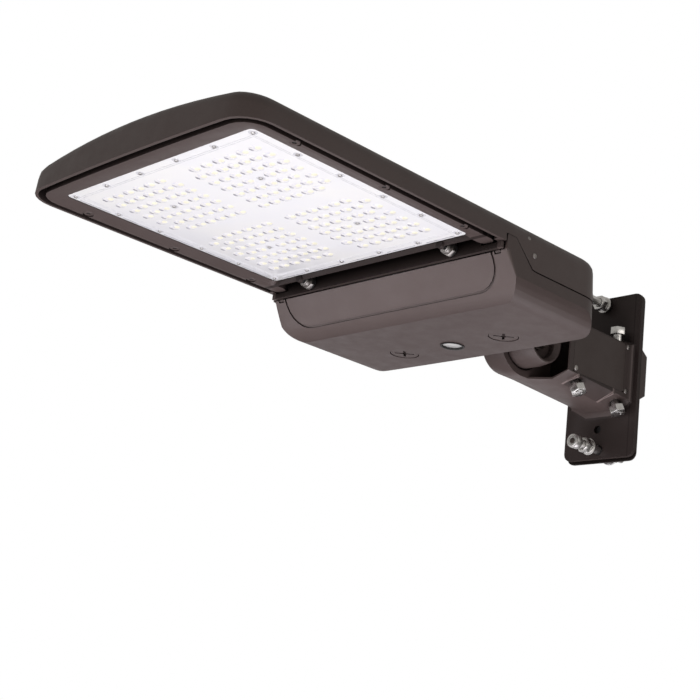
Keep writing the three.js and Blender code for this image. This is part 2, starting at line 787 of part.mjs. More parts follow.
function frontPanelGroove() {
  const slant = Math.hypot(1, doorFrontLean);
  const outline = (inset) => {
    const half = panelHalfWidth - inset;
    const drop = panelDepth - inset;
    const corner = panelCorner - inset;
    const right = arc(half - corner, corner - drop, corner, -90, 0, 6);
    return [[-half, 0], ...right.map(([x, v]) => [-x, v]).reverse(), ...right, [half, 0]];
  };
  const lift = bit * 4;
  const grow = outline(0).map(([x, v]) => [x, v === 0 ? lift : v]);
  const shrink = outline(panelGrooveWidth).map(([x, v]) => [x, v === 0 ? lift * 2 : v]);
  const place = (u, v, w) => {
    const along = v / slant;
    return [
      u,
      doorFrontY - doorFrontLean * along + w / slant,
      -doorTopDrop + along + (w * doorFrontLean) / slant,
    ];
  };
  const slab = (points, low, high) => {
    const count = points.length;
    const flat = points.map(([u, v]) => new THREE.Vector2(u, v));
    if (THREE.ShapeUtils.isClockWise(flat)) flat.reverse();
    const corners = [low, high].flatMap((w) => flat.map((p) => place(p.x, p.y, w)));
    const triangles = [];
    for (const [a, b, c] of THREE.ShapeUtils.triangulateShape(flat, [])) {
      triangles.push([a, b, c], [c + count, b + count, a + count]);
    }
    for (let i = 0; i < count; i += 1) {
      const j = (i + 1) % count;
      triangles.push([j + count, j, i], [i + count, j + count, i]);
    }
    return meshOf(corners, triangles);
  };
  return slab(grow, -lift, panelGrooveDepth).subtract(slab(shrink, -lift * 2, panelGrooveDepth * 2));
}

const dishDepth = latchRecess + latchThick + seat;
const latchFace = -doorDepth + latchRecess;
const sensorSleeveRadius = sensorWellRadius + sensorWall;

function door() {
  const outer = doorSideOutline(0);
  const seam = seamPath(-seat, -seat);
  const side = [
    [doorFrontY, earHeight - seat - earChamfer],
    [doorFrontY + earChamfer, earHeight - seat],
    ...seam.slice(1, 4),
    [outer.rear + far, seamZ - doorSeamGap - seat],
    [outer.rear + far, outer.bottom],
    ...outer.curve.slice().reverse(),
    [outer.front, outer.top],
  ];
  const block = prism(side, -far, far, placeX)
    .intersect(prism(doorCrossOutline(0), shellFrontY, shellRearY + far, placeY))
    .intersect(doorPlan(0))
    .intersect(doorCorners());
  const inner = doorSideOutline(doorWall);
  const hollowSide = [
    [doorFrontY - far, earHeight + far],
    [doorFrontY - far, inner.top],
    [inner.front, inner.top],
    ...inner.curve,
    [inner.rear + far, inner.bottom],
    [inner.rear + far, earHeight + far],
  ];
  const hollow = prism(hollowSide, -far, far, placeX)
    .intersect(prism(doorCrossOutline(doorWall), shellFrontY, shellRearY + far, placeY))
    .intersect(loft([-doorDepth - bit, earHeight + bit * 2].map((z) => (
      planRing(shellPlan, doorWall + draftInset(z) / 2, () => z)))));
  const tray = block.subtract(hollow);
  const bosses = mirrorPair((s) => rodZ(s * latchX, latchY, latchRadius + latchBossWall, -doorDepth + bit,
    -doorDepth + dishDepth + dishFloor, 32));
  const earBosses = mirrorPair((s) => (
    rodX(hingeY, hingeZ, hingeBossRadius - seat, ...spanX(s, lugX1 + bit, shellHalf - bit), 20)));
  const lugNotches = mirrorPair((s) => box(...spanX(s, lugX0 - bit, lugX1 + bit), shellFrontY,
    hingeY + hingeBossRadius + bit * 2, -doorTopDrop - hingeNotchDepth, 0));
  const dishes = mirrorPair((s) => rodZ(s * latchX, latchY, latchRadius + latchDishClearance,
    -doorDepth - bit, -doorDepth + dishDepth, 40));
  const studHoles = mirrorPair((s) => rodZ(s * latchX, latchY, latchStudRadius + seat, -doorDepth, far, 16));
  const sensorHole = rodZ(0, latchY, sensorSleeveRadius + seat, -doorDepth - bit,
    -doorDepth + doorWall + bit, 28);
  const pinHoles = mirrorPair((s) => (
    rodX(hingeY, hingeZ, hingePinRadius + seat, ...spanX(s, lugX1, shellHalf - doorWall), 12)));
  const relieved = cut(tray, ...lugNotches);
  return cut(join(relieved, ...bosses, ...earBosses), ...dishes, ...studHoles, sensorHole,
    frontPanelGroove(), ...pinHoles);
}

function doorSeal() {
  const low = seamZ - doorSeamGap + seat / 2;
  const high = seamZ - seat;
  const ringAt = (inset, z0, z1) => loft([z0, z1].map((z) => planRing(shellPlan, inset, () => z)));
  const strip = ringAt(doorSealInset, low, high)
    .subtract(ringAt(doorWall + doorSealRelief, low - bit, high + bit));
  return strip.intersect(box(-far, far, seamStartY + earWidth, shellRearY + far, low - bit, high + bit));
}

function latch(side) {
  const x = side * latchX;
  const disc = rodZ(x, latchY, latchRadius, latchFace, latchFace + latchThick, 40);
  const stud = rodZ(x, latchY, latchStudRadius, latchFace + latchThick - bit, latchTopZ, 16);
  const [reach, wide] = [latchRadius * latchSlotShare, latchSlotWidth / 2];
  const slots = [42, 132].map((turn) => (
    box(-reach, reach, -wide, wide, latchFace - bit, latchFace + latchSlotDepth)
      .rotate([0, 0, turn]).translate([x, latchY, 0])));
  const socket = rodZ(x, latchY, latchSocketRadius, latchFace - bit, latchFace + latchSocketDepth, 12);
  return cut(disc.add(stud), ...slots, socket);
}

function sensorBezel() {
  const face = -doorDepth;
  const flange = rodZ(0, latchY, sensorRadius, face - sensorRimWidth, face - seat, 32);
  const sleeve = rodZ(0, latchY, sensorSleeveRadius, face - sensorRimWidth, face + sensorHeight, 28);
  const well = rodZ(0, latchY, sensorWellRadius, face - sensorRimWidth - bit,
    face + sensorHeight - sensorBackWall, 28);
  return flange.add(sleeve).subtract(well);
}

const sensorWindow = () => rodZ(0, latchY, sensorWellRadius - seat,
  -doorDepth - sensorRimWidth + sensorRecess,
  -doorDepth + sensorHeight - sensorBackWall - seat, 28);

function sensorNut() {
  const low = -doorDepth + doorWall + seat;
  const hex = prism(ring(0, latchY, sensorRadius + sensorNutSpread, 6), low, low + sensorNutThick, placeZ);
  return hex.subtract(rodZ(0, latchY, sensorSleeveRadius + seat, low - bit, low + sensorNutThick + bit, 28));
}

function hingePin(side) {
  return rodX(hingeY, hingeZ, hingePinRadius,
    ...spanX(side, lugX0 - bit / 2, shellHalf - doorWall - seat), 12);
}

function driver() {
  const top = driverTopZ;
  const [x0, x1] = [driverX0, driverX1];
  const y0 = driverY - driverWidth / 2;
  const body = prism(roundedRect(y0, y0 + driverWidth, top - driverHeight, top, driverCorner, 3),
    x0, x1, placeX);
  const footHalf = driverFootLength / 2 + driverFootSpread;
  const feet = box(x0 - driverFootLength, x1 + driverFootLength, driverY - footHalf, driverY + footHalf,
    top - driverFootThick, top);
  return body.add(feet);
}

const hungBox = (x, y, top, length, width, height) => (
  prism(roundedRect(y - width / 2, y + width / 2, top - height, top, hungCorner, 2),
    x - length / 2, x + length / 2, placeX));
const surgeProtector = () => hungBox(surgeOffset, surgeY, surgeTopZ, surgeLength, surgeWidth, surgeHeight);

function terminalBlock() {
  const body = hungBox(terminalOffset, terminalY, terminalTopZ,
    terminalLength, terminalWidth, terminalHeight);
  const ways = 5;
  const pitch = terminalLength / ways;
  const wells = Array.from({ length: ways }, (_, i) => {
    const x = terminalOffset + (i - (ways - 1) / 2) * pitch;
    return box(x - pitch / 4, x + pitch / 4, terminalY - terminalWidth / 4, terminalY + terminalWidth / 4,
      terminalTopZ - terminalHeight - bit, terminalTopZ - terminalHeight + terminalWellDepth);
  });
  return cut(body, ...wells);
}

// Tilting joint, head side
const toothX = -6;
const cheekX1 = toothX - toothGap / 2;
const cheekX0 = cheekX1 - cheekWidth;
const hubX0 = cheekX1 - cheekPocketDepth + toothGap;
const hubX1 = hubX0 + hubWidth;
const flangeFaceY = padFaceY + seat + flangeThick;

function headKnuckle() {
  const taperX = hubX1 - hubTaperLength;
  const rimX = hubX1 - hubChamfer;
  const disc = (radius, low, high) => rodX(pivotY, axisZ, radius, low, high, 48);
  const barrel = disc(hubRadius, hubX0, taperX);
  const taper = hullOf(disc(hubRadius, taperX - seat, taperX), disc(hubEndRadius, rimX - seat, rimX));
  const rim = hullOf(disc(hubEndRadius, rimX - seat, rimX),
    disc(hubEndRadius - hubChamfer / 2, hubX1 - seat, hubX1));
  const half = neckHalfHeight;
  const neck = prism([
    [flangeFaceY - bit, padZ.low], [pivotY - hubRadius, axisZ - half], [pivotY, axisZ - half],
    [pivotY, axisZ + half], [pivotY - hubRadius, axisZ + half], [flangeFaceY - bit, padZ.high],
  ], hubX0 + neckHubMargin, hubX1 - neckSideMargin, placeX);
  const webY = flangeFaceY + webLength;
  const web = prism([
    [padFaceY + seat, padZ.low], [webY, padZ.low + webTaper], [webY, padZ.high - webTaper],
    [padFaceY + seat, padZ.high],
  ], hubX0 - webSpread, hubX1 + webSpread / 2, placeX);
  const flange = prism(roundedRect(-flangeHalfWidth, flangeHalfWidth, padZ.low, padZ.high, flangeCorner, 3),
    padFaceY + seat, flangeFaceY, placeY);
  const dish = hullOf(disc(hubDishRadius, hubX1, hubX1 + bit),
    disc(hubRecessRadius, hubX1 - hubDishDepth, hubX1 - hubDishDepth + seat));
  const recess = disc(hubRecessRadius, hubX1 - hubRecessDepth, hubX1);
  const bore = rodX(pivotY, axisZ, tiltBoltRadius + seat, hubX0 - bit, hubX1 + bit, 24);
  const boltHoles = mirrorPair((side) => rodY(side * flangeBoltX, padMiddle,
    flangeBoltRadius + seat, padFaceY, flangeFaceY + bit, 16));
  return cut(join(barrel, taper, rim, neck, web, flange), dish, recess, bore, ...boltHoles);
}

function flangeBolt(side) {
  const x = side * flangeBoltX;
  const low = flangeFaceY + seat;
  const head = prism(ring(x, padMiddle, flangeBoltHead, 6), low, low + flangeBoltHeadThick, placeY);
  const shank = rodY(x, padMiddle, flangeBoltRadius, shellRearY - shellWall, low + bit, 16);
  return head.add(shank);
}

function flangeSeal() {
  const low = padFaceY + knuckleSealFilm;
  const half = flangeHalfWidth - knuckleSealInset;
  const outline = roundedRect(-half, half, padZ.low + knuckleSealInset, padZ.high - knuckleSealInset,
    flangeCorner - knuckleSealInset / 2, 3);
  const bolts = mirrorPair((side) => (
    rodY(side * flangeBoltX, padMiddle, flangeBoltRadius + seat, low - bit, low + bit, 16)));
  return cut(prism(outline, low, low + knuckleSealThick, placeY), ...bolts,
    rodY(0, padMiddle, wireHoleRadius, low - bit, low + bit));
}

// Arm casting: cheek, tube, cover opening and the plate in one piece
const tubeRearY = plateFrontY + bit;
const nutPocketX = cheekX0 + tiltHexThick + tiltWasherThick + bit;

// The lower half of the tube grows toward the plate; share runs from the tube's front to the plate
const topRise = armSideHalfHeight + armTopChamferHeight;
const lowDrop = (share) => armSideHalfHeight + armLowChamferHeight + armLowGrowth * share ** 2;
const sideDrop = (share) => armSideHalfHeight + armSideGrowth * share;
const shareAt = (y) => Math.max(y - armFrontY, 0) / armTubeLength;

function armSection(y, widen) {
  const share = shareAt(y);
  const half = armHalfWidth + widen * armFlareSideShare;
  const flat = half - armChamferWidth;
  const [side, low] = [sideDrop(share) + widen / 2, lowDrop(share) + widen];
  const rise = widen * armFlareTopShare;
  const high = armSideHalfHeight + rise;
  return [
    [half, -side], [half, high], [flat, topRise + rise], [-flat, topRise + rise], [-half, high],
    [-half, -side - armLeftDrop], [-flat, -low], [flat, -low],
  ].map(([x, z]) => [x, y, axisZ + z]);
}

function loftY(rings) {
  const count = rings[0].length;
  const triangles = [];
  for (let k = 0; k + 1 < rings.length; k += 1) {
    for (let i = 0; i < count; i += 1) {
      const [a, b] = [k * count + i, k * count + ((i + 1) % count)];
      triangles.push([b, a, a + count], [b, a + count, b + count]);
    }
  }
  const last = (rings.length - 1) * count;
  for (let i = 1; i + 1 < count; i += 1) triangles.push([0, i, i + 1], [last + i + 1, last + i, last]);
  return meshOf(rings.flat(), triangles);
}

const coverY0 = armFrontY + coverFrontMargin;
const coverY1 = plateFrontY - coverRearMargin;
const coverX = armHalfWidth - coverThick;

// Set screws stand square on the slanted lower face of the tube
const setScrewDir = [Math.sin(setScrewAngle * degrees), -Math.cos(setScrewAngle * degrees)];
const screwX = armHalfWidth - armChamferWidth / 2;
const lowerScrewY = setScrewSetbackShares.map((share) => armFrontY + armTubeLength * share);
const topScrewY = armFrontY + armTubeLength * topScrewSetbackShare;

function alongRadial(solid, x, y, z, direction) {
  const turn = Math.atan2(direction[0], direction[1]) / degrees;
  return solid.rotate([0, turn, 0]).translate([x, y, z]);
}

const lowerScrewAt = (y) => [screwX, y, axisZ - (lowDrop(shareAt(y)) + sideDrop(shareAt(y))) / 2];
const topScrewAt = (y) => [screwX, y, axisZ + topRise - armTopChamferHeight / 2];

const poleHoles = (radius, low, high) => [-1, 1].map((side) => (
  rodY(0, plateZ + (side * poleBoltSpacing) / 2, radius, low, high)));

// The open front of the tube: thin walls at the edge, thicker walls behind
function armMouth() {
  const inner = (y, wall) => {
    const [half, flat] = [armHalfWidth - wall, armHalfWidth - armChamferWidth];
    const low = -lowDrop(0) + mouthFloor;
    const side = -armSideHalfHeight + wall / 2;
    return [
      [half, side], [half, armSideHalfHeight - wall / 2], [flat, topRise - wall], [cheekX1, topRise - wall],
      [cheekX1, low], [flat, low],
    ].map(([x, z]) => [x, y, axisZ + z]);
  };
  const startY = armFrontY - lipReach - bit;
  return loftY([
    inner(startY, mouthEdge), inner(armFrontY, mouthEdge), inner(armFrontY + mouthFlareLength, mouthWall),
    inner(armFrontY + mouthDepth, mouthWall),
  ]);
}

// A thin rib across the slanted lower face, highest at the side of the tube
function armRib(setback) {
  const y = armFrontY + setback;
  const [low, side] = [axisZ - lowDrop(shareAt(y)), axisZ - sideDrop(shareAt(y))];
  const innerX = armHalfWidth - armChamferWidth + ribInset;
  return prism([
    [innerX, low + ribHeight], [innerX, low + ribInset / 2], [armHalfWidth, side - ribHeight],
    [armHalfWidth, side + ribHeight],
  ], y, y + ribThick, placeY);
}

function armCasting() {
  const steps = 4;
  const straight = Array.from({ length: steps + 1 }, (_, i) => (
    armSection(armFrontY + ((armTubeLength - armFlare) * i) / steps, 0)));
  const flare = [22.5, 45, 67.5].map((angle) => {
    const [back, out] = [1 - Math.sin(angle * degrees), 1 - Math.cos(angle * degrees)];
    return armSection(plateFrontY - armFlare * back, armFlare * out);
  });
  const tube = loftY([...straight, ...flare, armSection(tubeRearY, armFlare)]);
  const crestX = cheekX0 + armChamferWidth;
  const cheek = hullOf(rodX(pivotY, axisZ, cheekRadius, cheekX0, cheekX0 + seat, 48),
    rodX(pivotY, axisZ, lowDrop(0), crestX, cheekX1, 48));
  const forearm = loftY([armSection(pivotY, 0), armSection(armFrontY + bit, 0)])
    .intersect(box(cheekX0, cheekX1, pivotY - bit, armFrontY + far, -far, far));
  const lip = prism([
    [cheekX1 - bit, armFrontY + bit], [cheekX1 - bit, armFrontY - lipReach], [cheekX1, armFrontY - lipReach],
    [cheekX1 + lipWidth, armFrontY], [cheekX1 + lipWidth, armFrontY + bit],
  ], axisZ - lowDrop(0), axisZ + topRise, placeZ);
  const plate = prism(
    roundedRect(-plateWidth / 2, plateWidth / 2, plateLow, plateLow + plateHeight, plateCornerRadius),
    plateFrontY, plateRearY, placeY);
  const bore = rodY(0, axisZ, armBoreRadius, armFrontY + mouthDepth - bit, plateRearY + bit, 40);
  const hubSweep = rodX(pivotY, axisZ, hubRadius + armHubClearance, cheekX1, hubX1 + hubEndClearance, 48);
  const pocket = rodX(pivotY, axisZ, cheekPocketRadius, cheekX1 - cheekPocketDepth, cheekX1 + bit, 48);
  const boltHole = rodX(pivotY, axisZ, tiltBoltRadius + seat, cheekX0 - bit, cheekX1 + bit, 24);
  const nutPocket = rodX(pivotY, axisZ, tiltNutPocketRadius, cheekX0 - bit, nutPocketX, 32);
  const coverSeat = box(coverX, armHalfWidth + far, coverY0, coverY1,
    axisZ - coverHalfHeight, axisZ + coverHalfHeight);
  const window = box(armHalfWidth / 2, armHalfWidth + bit, coverY0 + coverLedge, coverY1 - coverLedge,
    axisZ - coverHalfHeight + coverLedge, axisZ + coverHalfHeight - coverLedge);
  const screwHole = rodZ(0, 0, setScrewRadius + seat, -far / 8, far / 8, 16);
  const screwHoles = [
    ...lowerScrewY.map((y) => alongRadial(screwHole, ...lowerScrewAt(y), setScrewDir)),
    rodZ(topScrewAt(topScrewY)[0], topScrewY, setScrewRadius + seat, axisZ, axisZ + far, 16),
  ];
  const spareHole = rodY(-spareHoleOffset, plateLow + spareHoleRise, spareHoleRadius,
    plateFrontY - bit, plateRearY + bit, 20);
  return cut(join(tube, cheek, forearm, lip, plate, ...ribSetbacks.map(armRib)),
    hubSweep, pocket, armMouth(), bore, boltHole, nutPocket, coverSeat, window, ...screwHoles, spareHole,
    ...poleHoles(poleHoleRadius, plateFrontY - bit, plateRearY + bit));
}

const armCover = () => prism(
  roundedRect(coverY0 + seat, coverY1 - seat, axisZ - coverHalfHeight + seat, axisZ + coverHalfHeight - seat,
    coverCorner, 3),
  coverX + coverSealThick + seat / 2, armHalfWidth, placeX);

function coverSeal() {
  const [low, high] = [coverX + seat / 4, coverX + seat / 4 + coverSealThick];
  const outline = (inset) => roundedRect(coverY0 + inset, coverY1 - inset, axisZ - coverHalfHeight + inset,
    axisZ + coverHalfHeight - inset, coverCorner, 3);
  return prism(outline(bit), low, high, placeX)
    .subtract(prism(outline(coverLedge - bit), low - bit, high + bit, placeX));
}

function tiltBolt() {
  const headX = hubX1 - hubRecessDepth + tiltWasherThick + seat * 2;
  const head = prism(ring(pivotY, axisZ, tiltHexRadius, 6), headX, headX + tiltHexThick, placeX);
  return head.add(rodX(pivotY, axisZ, tiltBoltRadius, cheekX0 + bit, headX + bit, 24));
}

const washerX = (low, thick, radius, hole) => (
  rodX(pivotY, axisZ, radius, low, low + thick, 32)
    .subtract(rodX(pivotY, axisZ, hole, low - bit, low + thick + bit, 24)));
const tiltWasher = (low) => washerX(low, tiltWasherThick, tiltWasherRadius, tiltBoltRadius + seat);
const tiltHeadWasher = () => tiltWasher(hubX1 - hubRecessDepth + seat);
const tiltNutWasher = () => tiltWasher(nutPocketX - tiltWasherThick - seat);

function tiltNut() {
  const high = nutPocketX - tiltWasherThick - seat * 2;
  const nut = prism(ring(pivotY, axisZ, tiltHexRadius, 6), high - tiltHexThick, high, placeX);
  return nut.subtract(rodX(pivotY, axisZ, tiltBoltRadius + seat / 2, cheekX0 - far, cheekX0 + far, 24));
}

function setScrewSolid() {
  const head = prism(ring(0, 0, setScrewHexRadius, 6),
    setScrewStandoff, setScrewStandoff + setScrewHexThick, placeZ);
  return head.add(rodZ(0, 0, setScrewRadius, -setScrewReach, setScrewStandoff + bit, 16));
}

const lowerSetScrew = (index) => (
  alongRadial(setScrewSolid(), ...lowerScrewAt(lowerScrewY[index]), setScrewDir));
const topSetScrew = () => setScrewSolid().translate(topScrewAt(topScrewY));

const plateOutline = (extra) => roundedRect(-plateWidth / 2 + extra / 3, plateWidth / 2 - extra / 3,
  plateLow - extra, plateLow + plateHeight, plateCornerRadius);

function saddle() {
  const sheet = prism(plateOutline(saddleExtraHeight), saddleFrontY, saddleRearY, placeY);
  const halfPad = saddlePadHeight / 2;
  const pad = prism([
    [saddleFrontY, -halfPad - saddlePadBevel], [saddleRearY, -halfPad - saddlePadBevel], [padRearY, -halfPad],
    [padRearY, halfPad], [saddleRearY, halfPad + saddlePadBevel], [saddleFrontY, halfPad + saddlePadBevel],
  ].map(([y, z]) => [y, z + plateZ]), -plateWidth / 2 + bit, plateWidth / 2 - bit, placeX);
  const wireHole = rodY(-wireHoleOffset, plateZ, wireHoleRadius, saddleFrontY - bit, padRearY + bit);
  return cut(sheet.add(pad), wireHole, ...poleHoles(poleHoleRadius, saddleFrontY - bit, saddleRearY + bit));
}

function plateSeal() {
  const low = plateRearY + seat / 3;
  const high = saddleFrontY - seat / 3;
  const half = plateWidth / 2 - plateSealInset;
  const outline = roundedRect(-half, half, plateLow + plateSealInset, plateLow + plateHeight - plateSealInset,
    plateCornerRadius - plateSealInset / 2);
  return cut(prism(outline, low, high, placeY), rodY(0, axisZ, armBoreRadius, low - bit, high + bit, 40),
    ...poleHoles(poleHoleRadius, low - bit, high + bit));
}

const boltZ = (index) => plateZ + (index === 0 ? 1 : -1) * (poleBoltSpacing / 2);
const boltTailY = padRearY + poleTailLength;
const rearWasherY = padRearY + poleWallRoom;

function poleBolt(index) {
  const z = boltZ(index);
  const headRear = plateFrontY - poleBoltReach + poleHeadLength;
  const head = rodY(0, z, poleHeadRadius, headRear - poleHeadLength, headRear, 24);
  const socket = prism(ring(0, z, poleSocketRadius, 6), headRear - poleHeadLength - bit,
    headRear - poleHeadLength + poleSocketDepth, placeY);
  return head.add(rodY(0, z, poleBoltRadius, headRear - bit, boltTailY, 20)).subtract(socket);
}

function ringY(index, low, thick, outline) {
  const z = boltZ(index);
  return prism(outline(z), low, low + thick, placeY)
    .subtract(rodY(0, z, poleBoltRadius + seat / 2, low - bit, low + thick + bit, 20));
}

const stackY = (index) => plateFrontY - poleStackStandoffs[index];
const springY = (index) => stackY(index) - poleWasherThick - poleSpringThick - seat;
const poleWasher = (i) => (
  ringY(i, stackY(i) - poleWasherThick, poleWasherThick, (z) => ring(0, z, poleWasherRadius, 28)));
const poleSpring = (i) => ringY(i, springY(i), poleSpringThick, (z) => ring(0, z, poleSpringRadius, 24));
const poleNut = (i) => (
  ringY(i, springY(i) - poleNutThick - seat, poleNutThick, (z) => ring(0, z, poleNutRadius, 6)));
const poleRearWasher = (i) => (
  ringY(i, rearWasherY, poleRearWasherThick, (z) => ring(0, z, poleRearWasherRadius, 28)));
const poleRearNut = (i) => ringY(i, rearWasherY + poleRearWasherThick + seat, poleRearNutThick,
  (z) => ring(0, z, poleNutRadius, 6));

const group = new THREE.Group();
group.name = 'shoebox_area_light';

function add(name, solid, material) {
  const geometry = fromSolid(solid);
  geometry.translate(0, -padRearY, -plateZ);
  const mesh = new THREE.Mesh(geometry, material);
  mesh.name = name;
  group.add(mesh);
}

add('arm_casting', armCasting(), bronze());
add('arm_cover', armCover(), bronze());
add('arm_cover_seal', coverSeal(), rubber());
add('pole_saddle', saddle(), bronze());
add('plate_seal', plateSeal(), rubber());
['upper', 'lower'].forEach((word, index) => {
  add(`pole_bolt_${word}`, poleBolt(index), steel());
  add(`pole_nut_${word}`, poleNut(index), steel());
  add(`spring_washer_${word}`, poleSpring(index), steel());
  add(`flat_washer_${word}`, poleWasher(index), steel());
  add(`rear_washer_${word}`, poleRearWasher(index), steel());
  add(`rear_nut_${word}`, poleRearNut(index), steel());
});
const blackened = () => finish(0x2a2624, 0.5, 0.6);
add('tilt_bolt', tiltBolt(), blackened());
add('tilt_head_washer', tiltHeadWasher(), blackened());
add('tilt_nut_washer', tiltNutWasher(), steel());
add('tilt_nut', tiltNut(), steel());
add('set_screw_front', lowerSetScrew(0), steel());
add('set_screw_rear', lowerSetScrew(1), steel());
add('set_screw_top', topSetScrew(), steel());

add('housing', housing(), bronze());
add('head_knuckle', headKnuckle(), bronze());
add('knuckle_seal', flangeSeal(), rubber());
add('light_engine_frame', lightEngineFrame(), bareBronze());
add('lens_seal', lensSeal(), rubber());
add('lens_plate', lensPlate(), finish(0xf1f2f4, 0.12, 0));
add('led_driver', driver(), finish(0xd9dad8, 0.5, 0.3));
add('surge_protector', surgeProtector(), finish(0x2b2f36, 0.5, 0));
add('terminal_block', terminalBlock(), finish(0xe6e1cf, 0.5, 0));

[[-1, 'left'], [1, 'right']].forEach(([side, word]) => {
  add(`led_board_front_${word}`, ledBoard(side, -1), finish(0xe9ebe6, 0.5, 0));
  add(`led_board_rear_${word}`, ledBoard(side, 1), finish(0xe9ebe6, 0.5, 0));
  add(`cable_gland_${word}`, gland(side), finish(0x6d6a68, 0.4, 0.6));
  add(`gland_cap_${word}`, glandCap(side), finish(0x6d6a68, 0.4, 0.6));
  add(`gland_seal_${word}`, glandSeal(side), rubber());
  add(`engine_lead_${word}`, lead(side), rubber());
  add(`knuckle_bolt_${word}`, flangeBolt(side), steel());
  add(`hinge_pin_${word}`, hingePin(side), steel());
  add(`door_latch_${word}`, latch(side), bareBronze());
});
add('driver_door', door(), bareBronze());
add('door_seal', doorSeal(), rubber());
add('sensor_bezel', sensorBezel(), finish(0x1c1d1f, 0.45, 0));
add('sensor_window', sensorWindow(), finish(0xd8dde0, 0.2, 0.1));
add('sensor_nut', sensorNut(), rubber());

export default group;
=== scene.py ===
"""Looks, small parts, light and camera for the shoebox area light. Metres, Z up, origin on the pole pad."""

import math
import random

import bmesh
import bpy
from mathutils import Matrix, Vector


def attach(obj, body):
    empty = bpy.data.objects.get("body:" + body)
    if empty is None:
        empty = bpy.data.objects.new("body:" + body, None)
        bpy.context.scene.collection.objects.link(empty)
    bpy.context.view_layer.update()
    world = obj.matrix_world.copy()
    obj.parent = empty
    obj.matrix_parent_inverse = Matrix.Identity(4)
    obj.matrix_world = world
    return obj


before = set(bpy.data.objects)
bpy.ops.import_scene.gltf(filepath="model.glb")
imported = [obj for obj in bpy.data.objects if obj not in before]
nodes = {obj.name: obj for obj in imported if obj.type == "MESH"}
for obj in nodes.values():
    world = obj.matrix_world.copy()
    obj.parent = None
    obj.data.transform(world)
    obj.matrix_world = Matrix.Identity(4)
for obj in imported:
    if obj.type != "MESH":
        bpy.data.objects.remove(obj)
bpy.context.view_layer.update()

MM = 0.001
DOWN, UP, FRONT, RIGHT = (0, 0, -1), (0, 0, 1), (0, -1, 0), (1, 0, 0)

# Places below are in millimetres from the lens plate's front edge (Y) and outer face (Z)
PAD_Y = -678.7  # that front edge, from the pole pad
LENS_Z = 15.0  # that outer face, from the pole pad
AXIS_SHIFT = {"X": 0.0, "Y": PAD_Y, "Z": LENS_Z}
LENS_LENGTH, LENS_HALF = 265.5, 136.5


def at(x, y, z):
    """A place in millimetres as a point in metres in the CAD frame."""
    return Vector((x * MM, (y + PAD_Y) * MM, (z + LENS_Z) * MM))


# Materials

NOISE_ROUGHNESS = 0.55
NOISE_SPAN = (0.3, 0.7)  # where most values of a noise lie
COAT_ROUND = 0.0006  # radius of the coated edges
COAT_SHINE = 0.42
FLECK_GAIN = 1.7
HARDWARE_ROUND = 0.00025
MOULD_ROUND = 0.0003


